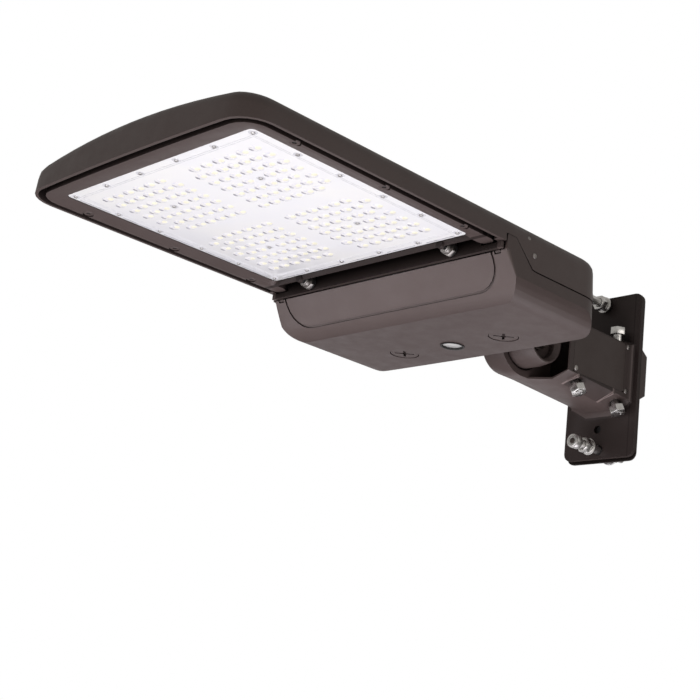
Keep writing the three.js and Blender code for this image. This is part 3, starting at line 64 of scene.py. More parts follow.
class Nodes:
    """A short way to add nodes to one material."""

    def __init__(self, name):
        self.material = bpy.data.materials.new(name)
        self.material.use_nodes = True
        self.tree = self.material.node_tree
        self.tree.nodes.clear()
        self.out = self.add("ShaderNodeOutputMaterial")
        self.shader = self.add("ShaderNodeBsdfPrincipled")
        self.link(self.shader.outputs["BSDF"], self.out.inputs["Surface"])
        self.where = self.add("ShaderNodeTexCoord").outputs["Object"]

    def add(self, kind, **settings):
        node = self.tree.nodes.new(kind)
        for key, value in settings.items():
            setattr(node, key, value)
        return node

    def link(self, a, b):
        self.tree.links.new(a, b)

    def noise(self, scale, detail=3.0, stretch=None):
        node = self.add("ShaderNodeTexNoise")
        node.inputs["Scale"].default_value = scale
        node.inputs["Detail"].default_value = detail
        node.inputs["Roughness"].default_value = NOISE_ROUGHNESS
        place = self.where
        if stretch:
            mapping = self.add("ShaderNodeMapping")
            mapping.inputs["Scale"].default_value = stretch
            self.link(place, mapping.inputs["Vector"])
            place = mapping.outputs["Vector"]
        self.link(place, node.inputs["Vector"])
        return node.outputs["Fac"]

    def ramp(self, value, low, high, colors):
        node = self.add("ShaderNodeValToRGB")
        for element, position, color in zip(node.color_ramp.elements, (low, high), colors):
            element.position = position
            element.color = (*color, 1)
        self.link(value, node.inputs["Fac"])
        return node.outputs["Color"]

    def rescale(self, value, from_min, from_max, to_min, to_max):
        """Maps a value from one range to another. A limit is a number or a socket."""
        node = self.add("ShaderNodeMapRange")
        limits = {"From Min": from_min, "From Max": from_max, "To Min": to_min, "To Max": to_max}
        for socket, limit in limits.items():
            if isinstance(limit, float):
                node.inputs[socket].default_value = limit
            else:
                self.link(limit, node.inputs[socket])
        self.link(value, node.inputs["Value"])
        return node.outputs["Result"]

    def spread(self, value, low, high):
        return self.rescale(value, *NOISE_SPAN, low, high)

    def mix(self, factor, a, b):
        node = self.add("ShaderNodeMix", data_type="RGBA")
        self.link(factor, node.inputs["Factor"])
        for value, socket in ((a, node.inputs["A"]), (b, node.inputs["B"])):
            if isinstance(value, tuple):
                socket.default_value = (*value, 1)
            else:
                self.link(value, socket)
        return node.outputs["Result"]

    def rounded(self, radius):
        """The normal of the solid with its edges rounded."""
        node = self.add("ShaderNodeBevel", samples=4)
        node.inputs["Radius"].default_value = radius
        return node.outputs["Normal"]

    def bump(self, heights, edge=0.0):
        normal = self.rounded(edge) if edge else None
        for height, distance in heights:
            node = self.add("ShaderNodeBump")
            node.inputs["Distance"].default_value = distance
            node.inputs["Strength"].default_value = 1.0
            self.link(height, node.inputs["Height"])
            if normal:
                self.link(normal, node.inputs["Normal"])
            normal = node.outputs["Normal"]
        self.link(normal, self.shader.inputs["Normal"])

    def dot(self, normal, direction):
        node = self.add("ShaderNodeVectorMath", operation="DOT_PRODUCT")
        self.link(normal, node.inputs[0])
        if isinstance(direction, tuple):
            node.inputs[1].default_value = direction
        else:
            self.link(direction, node.inputs[1])
        return node.outputs["Value"]

    def edges(self, radius, strength):
        """Up to strength along the solid's edges and 0 away from them."""
        plain = self.add("ShaderNodeNewGeometry").outputs["Normal"]
        return self.rescale(self.dot(self.rounded(radius), plain), 1.0, 0.8, 0.0, strength)

    def painted_crevice_shade(self, reach, floor, low, high):
        """Painted shade: 1 on open faces, down to a floor where other faces stand within reach."""
        node = self.add("ShaderNodeAmbientOcclusion", samples=8)
        node.inputs["Distance"].default_value = reach
        return self.rescale(node.outputs["AO"], low, high, floor, 1.0)

    def times(self, color, factor):
        node = self.add("ShaderNodeVectorMath", operation="SCALE")
        self.link(color, node.inputs[0])
        self.link(factor, node.inputs["Scale"])
        return node.outputs["Vector"]

    def product(self, value, amount):
        node = self.add("ShaderNodeMath", operation="MULTIPLY")
        self.link(value, node.inputs[0])
        if isinstance(amount, float):
            node.inputs[1].default_value = amount
        else:
            self.link(amount, node.inputs[1])
        return node.outputs["Value"]

    def zone(self, limits, factor):
        """A factor inside the limits and 1 outside. A factor of four values is low z, high z and its value at each."""
        split = self.add("ShaderNodeSeparateXYZ")
        self.link(self.where, split.inputs[0])
        inside = None
        for axis, (low, high) in limits.items():
            for kind, edge in (("GREATER_THAN", low), ("LESS_THAN", high)):
                test = self.add("ShaderNodeMath", operation=kind)
                self.link(split.outputs[axis], test.inputs[0])
                test.inputs[1].default_value = (edge + AXIS_SHIFT[axis]) * MM
                inside = self.product(inside, test.outputs["Value"]) if inside else test.outputs["Value"]
        if isinstance(factor, tuple):
            low, high, at_low, at_high = factor
            factor = self.rescale(split.outputs["Z"], (low + LENS_Z) * MM, (high + LENS_Z) * MM, at_low, at_high)
        return self.rescale(inside, 0.0, 1.0, 1.0, factor)

    def facing_factor(self, direction, factor, low=0.35, high=0.85):
        """A factor on the faces that look along direction and 1 on the others."""
        normal = self.add("ShaderNodeTexCoord").outputs["Normal"]
        return self.rescale(self.dot(normal, direction), low, high, 1.0, factor)

    def set(self, **values):
        for key, value in values.items():
            self.shader.inputs[key.replace("_", " ")].default_value = value
        return self


def powder_coat(name, dark, light, worn_and_highlight, rough, painted_zones=(), floors=(0.12, 0.3), toward=()):
    """Satin powder coat: fine orange peel, a slow change of tone, lighter edges from a thinner coat and a painted edge
    highlight, painted shade that darkens and dulls it in crevices, and painted light and shade in given zones and on
    faces that look along given directions.
    """
    m = Nodes(name)
    tone = m.ramp(m.noise(9.0, 4.0), 0.35, 0.68, (dark, light))
    fleck = m.ramp(m.noise(2600.0, 2.0), 0.42, 0.72, ((0.0, 0.0, 0.0), (0.35, 0.35, 0.35)))
    base = m.mix(fleck, tone, tuple(c * FLECK_GAIN for c in light))
    # Painted shade: darker colour and weaker shine where other faces stand near, as in crevices and gaps
    painted_light_and_shade = m.product(m.painted_crevice_shade(0.012, floors[0], 0.2, 0.6), m.painted_crevice_shade(0.034, floors[1], 0.3, 0.75))
    # Painted light and shade by place and by the way a face looks; both scale the colour and the shine
    for limits, factor in painted_zones:
        painted_light_and_shade = m.product(painted_light_and_shade, m.zone(limits, factor))
    for values in toward:
        painted_light_and_shade = m.product(painted_light_and_shade, m.facing_factor(*values))
    # Edges take the lighter edge colour: a thinner coat there and a painted edge highlight
    m.link(m.times(m.mix(m.edges(COAT_ROUND, 0.5), base, worn_and_highlight), painted_light_and_shade), m.shader.inputs["Base Color"])
    m.link(m.product(painted_light_and_shade, COAT_SHINE), m.shader.inputs["Specular IOR Level"])
    m.link(m.spread(m.noise(60.0, 4.0), rough - 0.05, rough + 0.07), m.shader.inputs["Roughness"])
    m.bump([(m.noise(900.0, 2.0), 0.000035), (m.noise(2800.0, 2.0), 0.000014)], edge=COAT_ROUND)
    return m.set(Metallic=0.0, IOR=1.5).material


def metal(name, dark, light, rough, streak):
    """Bright hardware: turning marks, a little tarnish and softened edges."""
    m = Nodes(name)
    m.link(m.ramp(m.noise(140.0, 4.0), 0.3, 0.75, (dark, light)), m.shader.inputs["Base Color"])
    m.link(m.spread(m.noise(420.0, 3.0), rough - 0.06, rough + 0.1), m.shader.inputs["Roughness"])
    m.bump([(m.noise(1.0, 2.0, stretch=streak), 0.00002), (m.noise(1500.0, 2.0), 0.000008)], edge=HARDWARE_ROUND)
    return m.set(Metallic=1.0).material


def surface(name, tint, rough, grain=None, edge=0.0, **settings):
    """Tint is scale, detail, low, high, dark, light. Rough is scale, detail, low, high. Grain is scale, height."""
    m = Nodes(name)
    scale, detail, low, high, dark, light = tint
    m.link(m.ramp(m.noise(scale, detail), low, high, (dark, light)), m.shader.inputs["Base Color"])
    scale, detail, low, high = rough
    m.link(m.spread(m.noise(scale, detail), low, high), m.shader.inputs["Roughness"])
    if grain:
        m.bump([(m.noise(grain[0], 2.0), grain[1])], edge=edge)
    return m.set(**settings).material


def moulded(name, dark, light, rough):
    """Moulded plastic or rubber with a fine grain."""
    return surface(name, (35.0, 4.0, 0.3, 0.7, dark, light), (90.0, 3.0, rough - 0.05, rough + 0.06),
                   (1900.0, 0.00002), MOULD_ROUND)


# A coat is dark, light and edge colour, then roughness. The edge colour is a thinner coat on worn edges with a painted
# edge highlight.
BRONZE = ((0.064, 0.0465, 0.0435), (0.075, 0.0560, 0.0525), (0.17, 0.145, 0.14), 0.43)
# A darker copy of the bronze coat: painted shade for the saddle and the arm's cover
SHADED_BRONZE = ((0.042, 0.030, 0.027), (0.050, 0.0365, 0.033), (0.14, 0.12, 0.115), 0.47)
COAT = powder_coat("bronze_powder_coat", *BRONZE)
# Painted shade on the wall behind the gap in front of the driver bay, darkest at its top
COAT_HOUSING = powder_coat("bronze_powder_coat_housing", *BRONZE, painted_zones=[
    ({"X": (-157.0, 157.0), "Y": (271.0, 289.45), "Z": (-11.6, 20.0)}, (-11.0, 2.0, 0.46, 0.1))])
# Painted shade on the frame's strip in the gap behind the lens plate
COAT_FRAME = powder_coat("bronze_powder_coat_frame", *BRONZE, painted_zones=[({"Y": (265.7, 271.0)}, 0.42)])
# Painted light on the door's front-facing faces and painted shade on its right-facing faces
COAT_DOOR = powder_coat("bronze_powder_coat_door", *BRONZE, toward=[(FRONT, 1.42), (RIGHT, 0.9)])
# The knuckle has weaker painted crevice shade
COAT_KNUCKLE = powder_coat("bronze_powder_coat_knuckle", *BRONZE, floors=(0.5, 0.7))
# Painted light and shade on the arm: lighter ribs and down-facing faces, and painted shade on the panel between the
# ribs, the strip at x 39.6 to 41 and the plate
SLANT = {"X": (17.0, 45.0), "Z": (-60.0, -24.0)}
COAT_ARM = powder_coat(
    "bronze_powder_coat_arm", *BRONZE, floors=(0.3, 0.5), toward=[(DOWN, 1.28, 0.93, 0.995)], painted_zones=[
        ({**SLANT, "Y": (564.4, 567.4)}, 2.4), ({**SLANT, "Y": (628.6, 631.6)}, 2.4),
        ({**SLANT, "Y": (567.4, 628.6)}, 0.7), ({"X": (39.6, 41.0)}, 0.7), ({"Y": (660.0, 668.0)}, 0.45)])
# Painted shadow along the saddle's front next to the plate
COAT_SADDLE = powder_coat("bronze_powder_coat_saddle", *SHADED_BRONZE, painted_zones=[({"Y": (660.0, 668.1)}, 0.25)])
COAT_COVER = powder_coat("bronze_powder_coat_cover", *SHADED_BRONZE)

TURNED_Y = (300.0, 4000.0, 300.0)
STEEL = metal("zinc_plated_steel", (0.55, 0.54, 0.52), (0.86, 0.86, 0.85), 0.24, TURNED_Y)
BOLT_STEEL = metal("rolled_bolt_steel", (0.66, 0.65, 0.63), (0.92, 0.91, 0.90), 0.3, TURNED_Y)
SCREW_STEEL = metal("stainless_screw", (0.42, 0.41, 0.40), (0.78, 0.77, 0.76), 0.3, (2500.0, 2500.0, 300.0))
DULL_STEEL = metal("dull_screw", (0.16, 0.145, 0.14), (0.42, 0.40, 0.385), 0.36, (2500.0, 300.0, 2500.0))
BLACK_STEEL = metal("blackened_steel", (0.075, 0.062, 0.056), (0.12, 0.10, 0.094), 0.48, TURNED_Y)
# Darker than bare nickel plating: painted shade from the frame above the glands
GLAND = metal("nickel_plated_brass", (0.25, 0.235, 0.225), (0.44, 0.42, 0.405), 0.32, (300.0, 3000.0, 300.0))

RUBBER = moulded("black_rubber", (0.010, 0.010, 0.011), (0.018, 0.018, 0.019), 0.7)
DARK_PLASTIC = moulded("dark_plastic", (0.016, 0.015, 0.015), (0.03, 0.028, 0.027), 0.45)
IVORY = moulded("ivory_nylon", (0.66, 0.62, 0.50), (0.76, 0.72, 0.60), 0.45)
CASE = moulded("driver_case_paint", (0.52, 0.53, 0.51), (0.66, 0.67, 0.65), 0.4)
SENSOR = moulded("sensor_diffuser", (0.50, 0.50, 0.49), (0.66, 0.66, 0.64), 0.25)

# Milky optical plastic, with faint cool and warm patches
LENS = surface(
    "optical_plastic", (16.0, 3.0, 0.36, 0.66, (0.83, 0.84, 0.865), (0.87, 0.875, 0.865)),
    (50.0, 3.0, 0.12, 0.22), (110.0, 0.00003), 0.0005, IOR=1.49)
DOME = surface(
    "optic_dome", (420.0, 3.0, 0.40, 0.60, (0.76, 0.765, 0.82), (0.94, 0.93, 0.91)),
    (300.0, 2.0, 0.06, 0.14), (700.0, 0.00001), IOR=1.49)
CHIP = surface(
    "led_phosphor", (900.0, 3.0, 0.3, 0.7, (0.90, 0.87, 0.66), (0.92, 0.91, 0.78)),
    (300.0, 2.0, 0.25, 0.4), (1500.0, 0.00001))
# Dark grey-blue patches that paint shade, on the side of each optic and in the lens border grooves
SHADE_GREY = surface(
    "painted_shade_grey", (120.0, 3.0, 0.35, 0.66, (0.27, 0.27, 0.31), (0.54, 0.54, 0.60)),
    (300.0, 2.0, 0.1, 0.2), (900.0, 0.00001))
SEAT = surface(
    "screw_seat", (200.0, 3.0, 0.35, 0.66, (0.62, 0.63, 0.66), (0.76, 0.76, 0.79)),
    (300.0, 2.0, 0.15, 0.25), (900.0, 0.00001), IOR=1.49)
BOARD = surface(
    "white_solder_mask", (60.0, 4.0, 0.35, 0.7, (0.68, 0.69, 0.66), (0.80, 0.81, 0.78)),
    (200.0, 3.0, 0.3, 0.45), (1200.0, 0.00001), 0.0002)
FLOOR = surface(
    "pale_floor", (1.2, 3.0, 0.3, 0.7, (0.70, 0.70, 0.70), (0.76, 0.76, 0.76)), (8.0, 3.0, 0.7, 0.85))

MATERIALS = {
    "arm_casting": COAT_ARM, "arm_cover": COAT_COVER, "pole_saddle": COAT_SADDLE, "housing": COAT_HOUSING,
    "head_knuckle": COAT_KNUCKLE, "driver_door": COAT_DOOR, "door_latch_left": COAT, "door_latch_right": COAT,
    "tilt_bolt": BLACK_STEEL, "tilt_head_washer": BLACK_STEEL, "light_engine_frame": COAT_FRAME,
    "lens_plate": LENS, "led_driver": CASE, "surge_protector": DARK_PLASTIC, "terminal_block": IVORY,
    "pole_bolt_upper": BOLT_STEEL, "pole_bolt_lower": BOLT_STEEL,
    "sensor_bezel": DARK_PLASTIC, "sensor_nut": DARK_PLASTIC, "sensor_window": SENSOR,
}
for name, obj in nodes.items():
    if name in MATERIALS:
        material = MATERIALS[name]
    elif name.startswith("led_board"):
        material = BOARD
    elif name.startswith(("cable_gland", "gland_cap")):
        material = GLAND
    elif "seal" in name or name.startswith("engine_lead"):
        material = RUBBER
    else:
        material = STEEL
    obj.data.materials.clear()
    obj.data.materials.append(material)


# CAD pieces: joined facets, small edge rounds on the hardware, and smooth faces between sharp edges

WELD_DISTANCE = 0.000005
SHARP_ANGLE, DOOR_SHARP_ANGLE = 32, 15  # the door's crease is a shallow one
ROUND_ANGLE = 40
SMALL_ROUND = {
    "tilt_": 0.4, "set_screw": 0.5, "pole_bolt": 0.5, "pole_nut": 0.5, "rear_nut": 0.5, "spring_washer": 0.2,
    "flat_washer": 0.2, "rear_washer": 0.2, "cable_gland": 0.3, "gland_cap": 0.3, "knuckle_bolt": 0.4,
    "sensor_bezel": 0.15, "sensor_window": 0.4, "lens_plate": 0.4,
}
for name, obj in nodes.items():
    obj.data.polygons.foreach_set("use_smooth", [True] * len(obj.data.polygons))
    if obj.data.attributes.get("custom_normal"):
        obj.data.attributes.remove(obj.data.attributes["custom_normal"])
    weld = obj.modifiers.new("Weld", "WELD")
    weld.merge_threshold = WELD_DISTANCE
    width = next((w for key, w in SMALL_ROUND.items() if name.startswith(key)), 0)
    if width:
        bevel = obj.modifiers.new("Bevel", "BEVEL")
        bevel.width = width * MM
        bevel.segments = 2
        bevel.limit_method = "ANGLE"
        bevel.angle_limit = math.radians(ROUND_ANGLE)
    split = obj.modifiers.new("Split", "EDGE_SPLIT")
    split.split_angle = math.radians(DOOR_SHARP_ANGLE if name == "driver_door" else SHARP_ANGLE)


# Small parts in mesh code

PART_SHARP_ANGLE = 38


def shown(name, bm, material, body):
    """Turns a finished bmesh into an object that rides on a body."""
    bmesh.ops.recalc_face_normals(bm, faces=bm.faces)
    mesh = bpy.data.meshes.new(name)
    bm.to_mesh(mesh)
    bm.free()
    for polygon in mesh.polygons:
        polygon.use_smooth = True
    obj = bpy.data.objects.new(name, mesh)
    bpy.context.scene.collection.objects.link(obj)
    mesh.materials.append(material)
    split = obj.modifiers.new("Split", "EDGE_SPLIT")
    split.split_angle = math.radians(PART_SHARP_ANGLE)
    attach(obj, body)


def around(sides):
    """Cosine and sine of evenly spaced angles."""
    angles = [2 * math.pi * i / sides for i in range(sides)]
    return [(math.cos(angle), math.sin(angle)) for angle in angles]


def skin(bm, loops):
    """Quads between closed loops with the same number of points."""
    for low, high in zip(loops, loops[1:]):
        for i in range(len(low)):
            j = (i + 1) % len(low)
            bm.faces.new((low[i], low[j], high[j], high[i]))


def circles(bm, profile, sides, place):
    """A circle of points about a place's own Z for each (radius, height) in millimetres."""
    return [[bm.verts.new(place @ Vector((radius * MM * c, radius * MM * s, height * MM))) for c, s in around(sides)]
            for radius, height in profile]


def turn(bm, profile, sides, place):
    """A turned shape from (radius, height) points, the first and last closed by a face."""
    rings = circles(bm, profile, sides, place)
    skin(bm, rings)
    bm.faces.new(list(reversed(rings[0])))
    bm.faces.new(rings[-1])


def facing(place, outward, spin=0.0):
    """Puts a shape's own Z along outward at a place."""
    z = Vector(outward).normalized()
    x = Vector(UP).cross(z) if abs(z.z) < 0.9 else Vector(RIGHT)
    x.normalize()
    y = z.cross(x)
    turned = Matrix((x, y, z)).transposed().to_4x4()
    return Matrix.Translation(place) @ turned @ Matrix.Rotation(spin, 4, "Z")


# Shares of a pan head's radius and height along its profile
HEAD_SHARES = ((0.98, -0.1), (1.0, 0.25), (0.93, 0.6), (0.74, 0.88), (0.5, 1.0))


def screw(bm, place, outward, radius, height, spin, cross):
    """A pan head with a crossed or a hexagonal mark on its crown."""
    m = facing(place, outward, spin)
    turn(bm, [(radius * r, height * h) for r, h in HEAD_SHARES], 20, m)
    if cross:
        for quarter in (0.0, math.pi / 2):
            slot(bm, m @ Matrix.Rotation(quarter, 4, "Z"), radius * 0.62, radius * 0.13, height * 1.01)
    else:
        turn(bm, [(radius * 0.42, height * 1.005), (radius * 0.42, height * 1.01)], 6, m)


def slot(bm, m, half_length, half_width, height):
    """A thin bar whose top lies just over the crown, so that it reads as a slot."""
    corners = [(-half_length, -half_width), (half_length, -half_width), (half_length, half_width),
               (-half_length, half_width)]
    top = [bm.verts.new(m @ (Vector((x, y, height)) * MM)) for x, y in corners]
    low = [bm.verts.new(m @ (Vector((x * 0.8, y * 0.5, height * 0.7)) * MM)) for x, y in corners]
    bm.faces.new(top)
    skin(bm, (low, top))
    bm.faces.new(list(reversed(low)))


random.seed(7)

# Screws of the lens plate: a row along each edge, and one in the middle of each group of optics
SCREW_X = (-130, -79, -26.5, 26.5, 79, 130)
SCREW_Y = (6.6, 56.4, 106.0, 159.0, 208.4, 258.0)
MIDDLE_SCREW = (63, 60)  # from the middle of the plate
SEAT_PROFILE = ((4.2, 0.0), (3.9, 0.3), (3.1, 0.32), (2.2, 0.05))
lens_screws = [(x, y) for x in SCREW_X for y in (SCREW_Y[0], SCREW_Y[-1])]
lens_screws += [(x, y) for x in (SCREW_X[0], SCREW_X[-1]) for y in SCREW_Y[1:-1]]
lens_screws += [(side * MIDDLE_SCREW[0], LENS_LENGTH / 2 + end * MIDDLE_SCREW[1])
                for side in (-1, 1) for end in (-1, 1)]
heads, seats = bmesh.new(), bmesh.new()
for x, y in lens_screws:
    screw(heads, at(x, y, -0.1), DOWN, 2.1, 1.1, random.uniform(0, 1.5), cross=True)
    turn(seats, SEAT_PROFILE, 24, facing(at(x, y, 0.0), DOWN))
shown("lens_screws", heads, SCREW_STEEL, "head")
shown("lens_screw_seats", seats, SEAT, "head")

# Optics: 46 domes in each of four groups, mirrored about the middle of the plate.
# The place of one optic in a group is left free for the screw.
quarter = [(x, y) for x in (17, 32, 47, 62, 77, 92) for y in (16.5, 31.5, 46.5, 61, 75.5, 90.5)
           if (x, y) != (62, 61)]
quarter += [(x, 104.5) for x in (25, 42, 58.4, 74.6, 91, 107.4)]
quarter += [(108, y) for y in (25, 40.5, 57, 73, 89)]
optics = [(sx * x, LENS_LENGTH / 2 + sy * y) for sx in (-1, 1) for sy in (-1, 1) for x, y in quarter]

OPTIC_RADIUS, OPTIC_HEIGHT = 6.4, 0.9
DENT_DEPTH, DENT_HALF = 0.15, 1.4
PLATE_CLEARANCE = 0.04
# Growth of a patch's outline and its rise as a share of the swell. The first loop is sunk instead.
PATCH_SHARES = ((0.9, 0.6), (0.6, 0.9), (0.25, 1.0))
PATCH_SUNK = -0.1


def optic_height(x, y):
    """Height of an optic over the plate: a soft dome with a shallow dent along its middle."""
    spread = min(1.0, math.hypot(x, y) / OPTIC_RADIUS)
    dent = DENT_DEPTH * math.exp(-((x / DENT_HALF) ** 2)) * (1 - spread) ** 0.5
    return OPTIC_HEIGHT * (1 - spread ** 2) ** 1.4 - dent


def on_optic(bm, place, x, y, lift):
    return bm.verts.new(place + Vector((x, y, -(optic_height(x, y) + lift))) * MM)


def dome(bm, place):
    rows = 8
    loops = []
    for k in range(rows):
        radius = OPTIC_RADIUS * (1 - (k / rows) ** 1.3)
        loops.append([on_optic(bm, place, radius * c, radius * s, -PLATE_CLEARANCE) for c, s in around(24)])
    skin(bm, loops)
    bm.faces.new(loops[-1])


def patch(bm, place, x0, y0, half_x, half_y, swell):
    """A thin oval plate that follows the side of an optic."""
    loops = []
    for grow, rise in ((1.0, PATCH_SUNK), *((share, part * swell) for share, part in PATCH_SHARES)):
        loops.append([on_optic(bm, place, x0 + half_x * grow * c, y0 + half_y * grow * s, rise)
                      for c, s in around(14)])
    skin(bm, loops)
    bm.faces.new(loops[-1])


domes, chips, shade_patches = bmesh.new(), bmesh.new(), bmesh.new()
for x, y in optics:
    place = at(x, y, 0.0)
    dome(domes, place)
    patch(chips, place, 3.9, 0.3, 2.9, 2.8, 0.1)
    # A dark patch on the -X side of each optic paints its shade
    patch(shade_patches, place, -4.5, -0.5, 1.8, 2.7, 0.45)
shown("optic_domes", domes, DOME, "head")
shown("led_phosphor_spots", chips, CHIP, "head")
shown("optic_painted_shades", shade_patches, SHADE_GREY, "head")

# Thin lines along the border of the lens plate, the outer ones broken where the screws are
LINE_SLOPE, LINE_SUNK = 0.12, -0.05
OUTER_NEAR, OUTER_FAR, OUTER_TOP = 2.8, 3.6, 0.3
INNER_INSETS, INNER_WIDTH, INNER_TOP = (9.2, 11.6), 0.6, 0.2
SCREW_GAP = 7.5


def bar(bm, x0, x1, y0, y1, top):
    """A thin bar on the lens plate whose outer edges slope a little."""
    base = [bm.verts.new(at(x, y, -LINE_SUNK)) for x, y in ((x0, y0), (x1, y0), (x1, y1), (x0, y1))]
    x0, x1, y0, y1 = x0 + LINE_SLOPE, x1 - LINE_SLOPE, y0 + LINE_SLOPE, y1 - LINE_SLOPE
    crown = [bm.verts.new(at(x, y, -top)) for x, y in ((x0, y0), (x1, y0), (x1, y1), (x0, y1))]
    bm.faces.new(crown)
    skin(bm, (base, crown))


outer_lines, inner_lines = bmesh.new(), bmesh.new()
for low, high in zip(SCREW_X, SCREW_X[1:]):
    bar(outer_lines, low + SCREW_GAP, high - SCREW_GAP, LENS_LENGTH - OUTER_FAR, LENS_LENGTH - OUTER_NEAR, OUTER_TOP)
for low, high in zip(SCREW_Y, SCREW_Y[1:]):
    bar(outer_lines, OUTER_NEAR - LENS_HALF, OUTER_FAR - LENS_HALF, low + SCREW_GAP, high - SCREW_GAP, OUTER_TOP)
for inset in INNER_INSETS:
    left, right, front, rear = inset - LENS_HALF, LENS_HALF - inset, inset, LENS_LENGTH - inset
    bar(inner_lines, left, right, front, front + INNER_WIDTH, INNER_TOP)
    bar(inner_lines, left, right, rear - INNER_WIDTH, rear, INNER_TOP)
    bar(inner_lines, left, left + INNER_WIDTH, front, rear, INNER_TOP)
    bar(inner_lines, right - INNER_WIDTH, right, front, rear, INNER_TOP)
# The outer lines are dark raised bars that paint the shade of a groove
shown("lens_border_groove_shade", outer_lines, SHADE_GREY, "head")
shown("lens_border_ribs", inner_lines, SEAT, "head")

# Frame screws in the notches beside the light engine
FRAME_SCREW_X, FRAME_SCREW_Y, FRAME_SCREW_BASE = 150.0, (35.1, 140.4, 243.0), 4.0
FRAME_SCREW_PROFILE = ((5.4, 0.0), (5.4, 6.4), (4.8, 7.0), (2.4, 7.0), (2.1, 6.6), (1.9, 4.0))
# A black disc down in each screw's socket paints the socket's shade
FRAME_SOCKET_SHADE_PROFILE = ((1.95, 6.0), (1.9, 6.2))
heads, socket_shades = bmesh.new(), bmesh.new()
for side in (-1, 1):
    for y in FRAME_SCREW_Y:
        place = facing(at(side * FRAME_SCREW_X, y, FRAME_SCREW_BASE), DOWN)
        turn(heads, FRAME_SCREW_PROFILE, 28, place)
        turn(socket_shades, FRAME_SOCKET_SHADE_PROFILE, 12, place)
shown("frame_screws", heads, COAT, "head")
shown("frame_screw_socket_shades", socket_shades, RUBBER, "head")

# Screws in the side walls near the hinge, each with its own place on the sloping wall
heads = bmesh.new()
for side in (-1, 1):
    for x, y, z in ((162.6, 320.7, 8.9), (164.4, 329.2, -5.7)):
        screw(heads, at(side * x, y, z), (side, 0, 0), 2.8, 1.7, 0.5, cross=False)
shown("side_wall_screws", heads, DULL_STEEL, "head")

# Screws at the corners of the arm's cover
COVER_FACE_X = 39.2
heads = bmesh.new()
for y, z in ((653, 14), (560.5, -36), (653, -38.5), (560.5, 12)):
    screw(heads, at(COVER_FACE_X, y, z), RIGHT, 3.2, 1.8, 0.2, cross=False)
shown("arm_cover_screws", heads, DULL_STEEL, "arm")

# Bright end rings of the set screws and pole bolts, and black hexagons on the pole bolts' ends that paint the shade of
# their sockets
SCREW_TILT = math.radians(24)
SLANT_DOWN = (math.sin(SCREW_TILT), 0.0, -math.cos(SCREW_TILT))
END_DEPTH = 0.0002
RING_SUNK = -0.1
SET_SCREWS = (("front", SLANT_DOWN), ("rear", SLANT_DOWN), ("top", UP))
SOCKET_SHADE_PROFILE = ((3.5, -0.1), (3.5, 0.1))


def end_of(name, outward):
    """The middle of the end face of a CAD piece, seen along outward."""
    obj, along = nodes[name], Vector(outward)
    points = [obj.matrix_world @ v.co for v in obj.data.vertices]
    far = max(p.dot(along) for p in points)
    face = [p for p in points if p.dot(along) > far - END_DEPTH]
    return sum(face, Vector()) / len(face)


def ring(bm, place, outward, inner, outer, height):
    profile = ((outer, RING_SUNK), (outer, height * 0.6), (outer - height * 0.5, height), (inner, height),
               (inner, RING_SUNK))
    skin(bm, circles(bm, profile, 28, facing(place, outward)))


for end, outward in SET_SCREWS:
    name = f"set_screw_{end}"
    rings = bmesh.new()
    ring(rings, end_of(name, outward), outward, 4.6, 7.0, 0.5)
    shown(name + "_end_ring", rings, STEEL, f"{end}_set_screw")
rings, socket_shades = bmesh.new(), bmesh.new()
for name in ("pole_bolt_upper", "pole_bolt_lower"):
    place = end_of(name, FRONT)
    ring(rings, place, FRONT, 3.6, 6.0, 0.4)
    turn(socket_shades, SOCKET_SHADE_PROFILE, 6, facing(place, FRONT))
shown("pole_bolt_end_rings", rings, STEEL, "arm")
shown("pole_bolt_socket_shades", socket_shades, BLACK_STEEL, "arm")


# Camera, solved from the photograph

AZIMUTH, ELEVATION, ROLL = (math.radians(v) for v in (47.79, -16.25, 6.76))
CAMERA_PLACE = at(1006.065, -653.236, -492.613)
FOCAL_PIXELS, IMAGE_PIXELS, SENSOR_WIDTH = 1449.8, 700, 36.0
toward = Vector((math.sin(AZIMUTH) * math.cos(ELEVATION), -math.cos(AZIMUTH) * math.cos(ELEVATION),
                 math.sin(ELEVATION)))
ahead = -toward
right = ahead.cross(Vector(UP)).normalized()
up = right.cross(ahead)
across = right * math.cos(ROLL) + up * math.sin(ROLL)
above = up * math.cos(ROLL) - right * math.sin(ROLL)
camera = bpy.data.objects.new("camera", bpy.data.cameras.new("camera"))
camera.data.sensor_width = SENSOR_WIDTH
camera.data.lens = FOCAL_PIXELS / IMAGE_PIXELS * SENSOR_WIDTH
camera.data.clip_start = 0.01
camera.matrix_world = Matrix.Translation(CAMERA_PLACE) @ Matrix((across, above, toward)).transposed().to_4x4()
bpy.context.scene.collection.objects.link(camera)
bpy.context.scene.camera = camera


# Floor, light and backdrop tone

FLOOR_HALF, FLOOR_Z = 6, -0.95
floor_mesh = bpy.data.meshes.new("floor")
floor_mesh.from_pydata(
    [(x * FLOOR_HALF, y * FLOOR_HALF, FLOOR_Z) for x, y in ((-1, -1), (1, -1), (1, 1), (-1, 1))], [], [(0, 1, 2, 3)])
floor_mesh.materials.append(FLOOR)
floor = bpy.data.objects.new("floor", floor_mesh)
bpy.context.scene.collection.objects.link(floor)

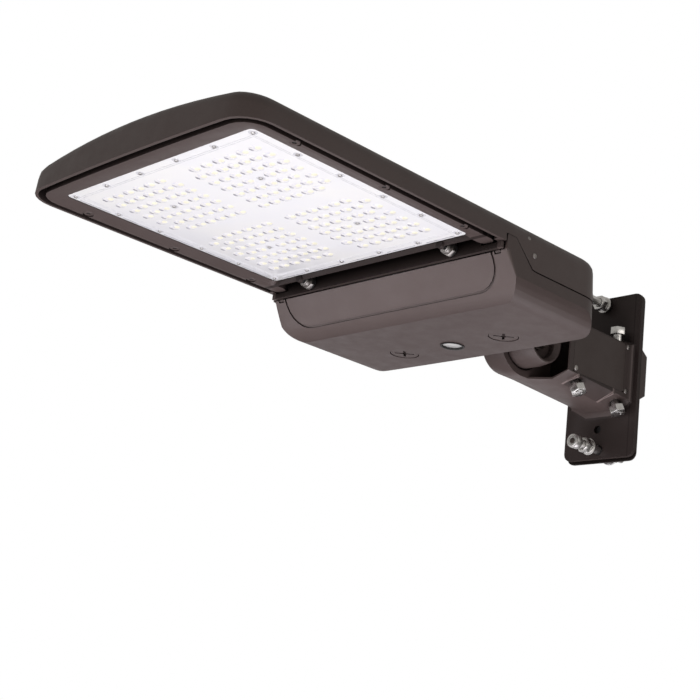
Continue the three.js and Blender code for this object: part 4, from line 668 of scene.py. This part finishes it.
# Name, place, width and height in metres, power in watts and tint
AIM = Vector((0.0, -0.4, 0.0))
COOL, WARM = (1.0, 0.97, 1.02), (1.0, 0.95, 0.90)
SOFTBOXES = (
    ("light_from_below", (0.1, -0.5, -0.88), 1.4, 1.4, 13.3, COOL),
    ("light_from_front", (0.7, -1.7, -0.7), 1.2, 1.2, 6.4, WARM),
    ("light_from_left", (-1.2, -1.4, -0.8), 0.9, 0.9, 5.0, COOL),
    ("light_from_side", (2.0, -0.2, 0.15), 1.0, 1.0, 3.5, WARM),
    ("light_from_behind", (-1.6, 1.5, -0.62), 1.6, 0.6, 1.7, COOL),
    ("light_under_the_arm", (0.05, 0.3, -0.85), 0.6, 0.6, 1.5, COOL),
)
for name, place, width, height, power, tint in SOFTBOXES:
    data = bpy.data.lights.new(name, "AREA")
    data.shape = "RECTANGLE"
    data.size, data.size_y = width, height
    data.energy = power
    data.color = tint
    light = bpy.data.objects.new(name, data)
    light.location = place
    light.rotation_euler = (AIM - Vector(place)).to_track_quat("-Z", "Y").to_euler()
    bpy.context.scene.collection.objects.link(light)

# The backdrop is white to the camera. It lights the part dimly, and glossy faces mirror it more brightly.
FILL, MIRRORED = 0.17, 0.42
world = bpy.data.worlds.new("studio")
bpy.context.scene.world = world
world.use_nodes = True
tree = world.node_tree
tree.nodes.clear()
output = tree.nodes.new("ShaderNodeOutputWorld")
seen, cast = tree.nodes.new("ShaderNodeBackground"), tree.nodes.new("ShaderNodeBackground")
seen.inputs["Color"].default_value = (1, 1, 1, 1)
seen.inputs["Strength"].default_value = 1.0
cast.inputs["Color"].default_value = (1.0, 0.96, 0.92, 1)
path, choose = tree.nodes.new("ShaderNodeLightPath"), tree.nodes.new("ShaderNodeMixShader")
brighter = tree.nodes.new("ShaderNodeMapRange")
brighter.inputs["To Min"].default_value = FILL
brighter.inputs["To Max"].default_value = MIRRORED
tree.links.new(path.outputs["Is Glossy Ray"], brighter.inputs["Value"])
tree.links.new(brighter.outputs["Result"], cast.inputs["Strength"])
tree.links.new(path.outputs["Is Camera Ray"], choose.inputs["Fac"])
tree.links.new(cast.outputs["Background"], choose.inputs[1])
tree.links.new(seen.outputs["Background"], choose.inputs[2])
tree.links.new(choose.outputs["Shader"], output.inputs["Surface"])
bpy.context.scene.view_settings.view_transform = "Standard"
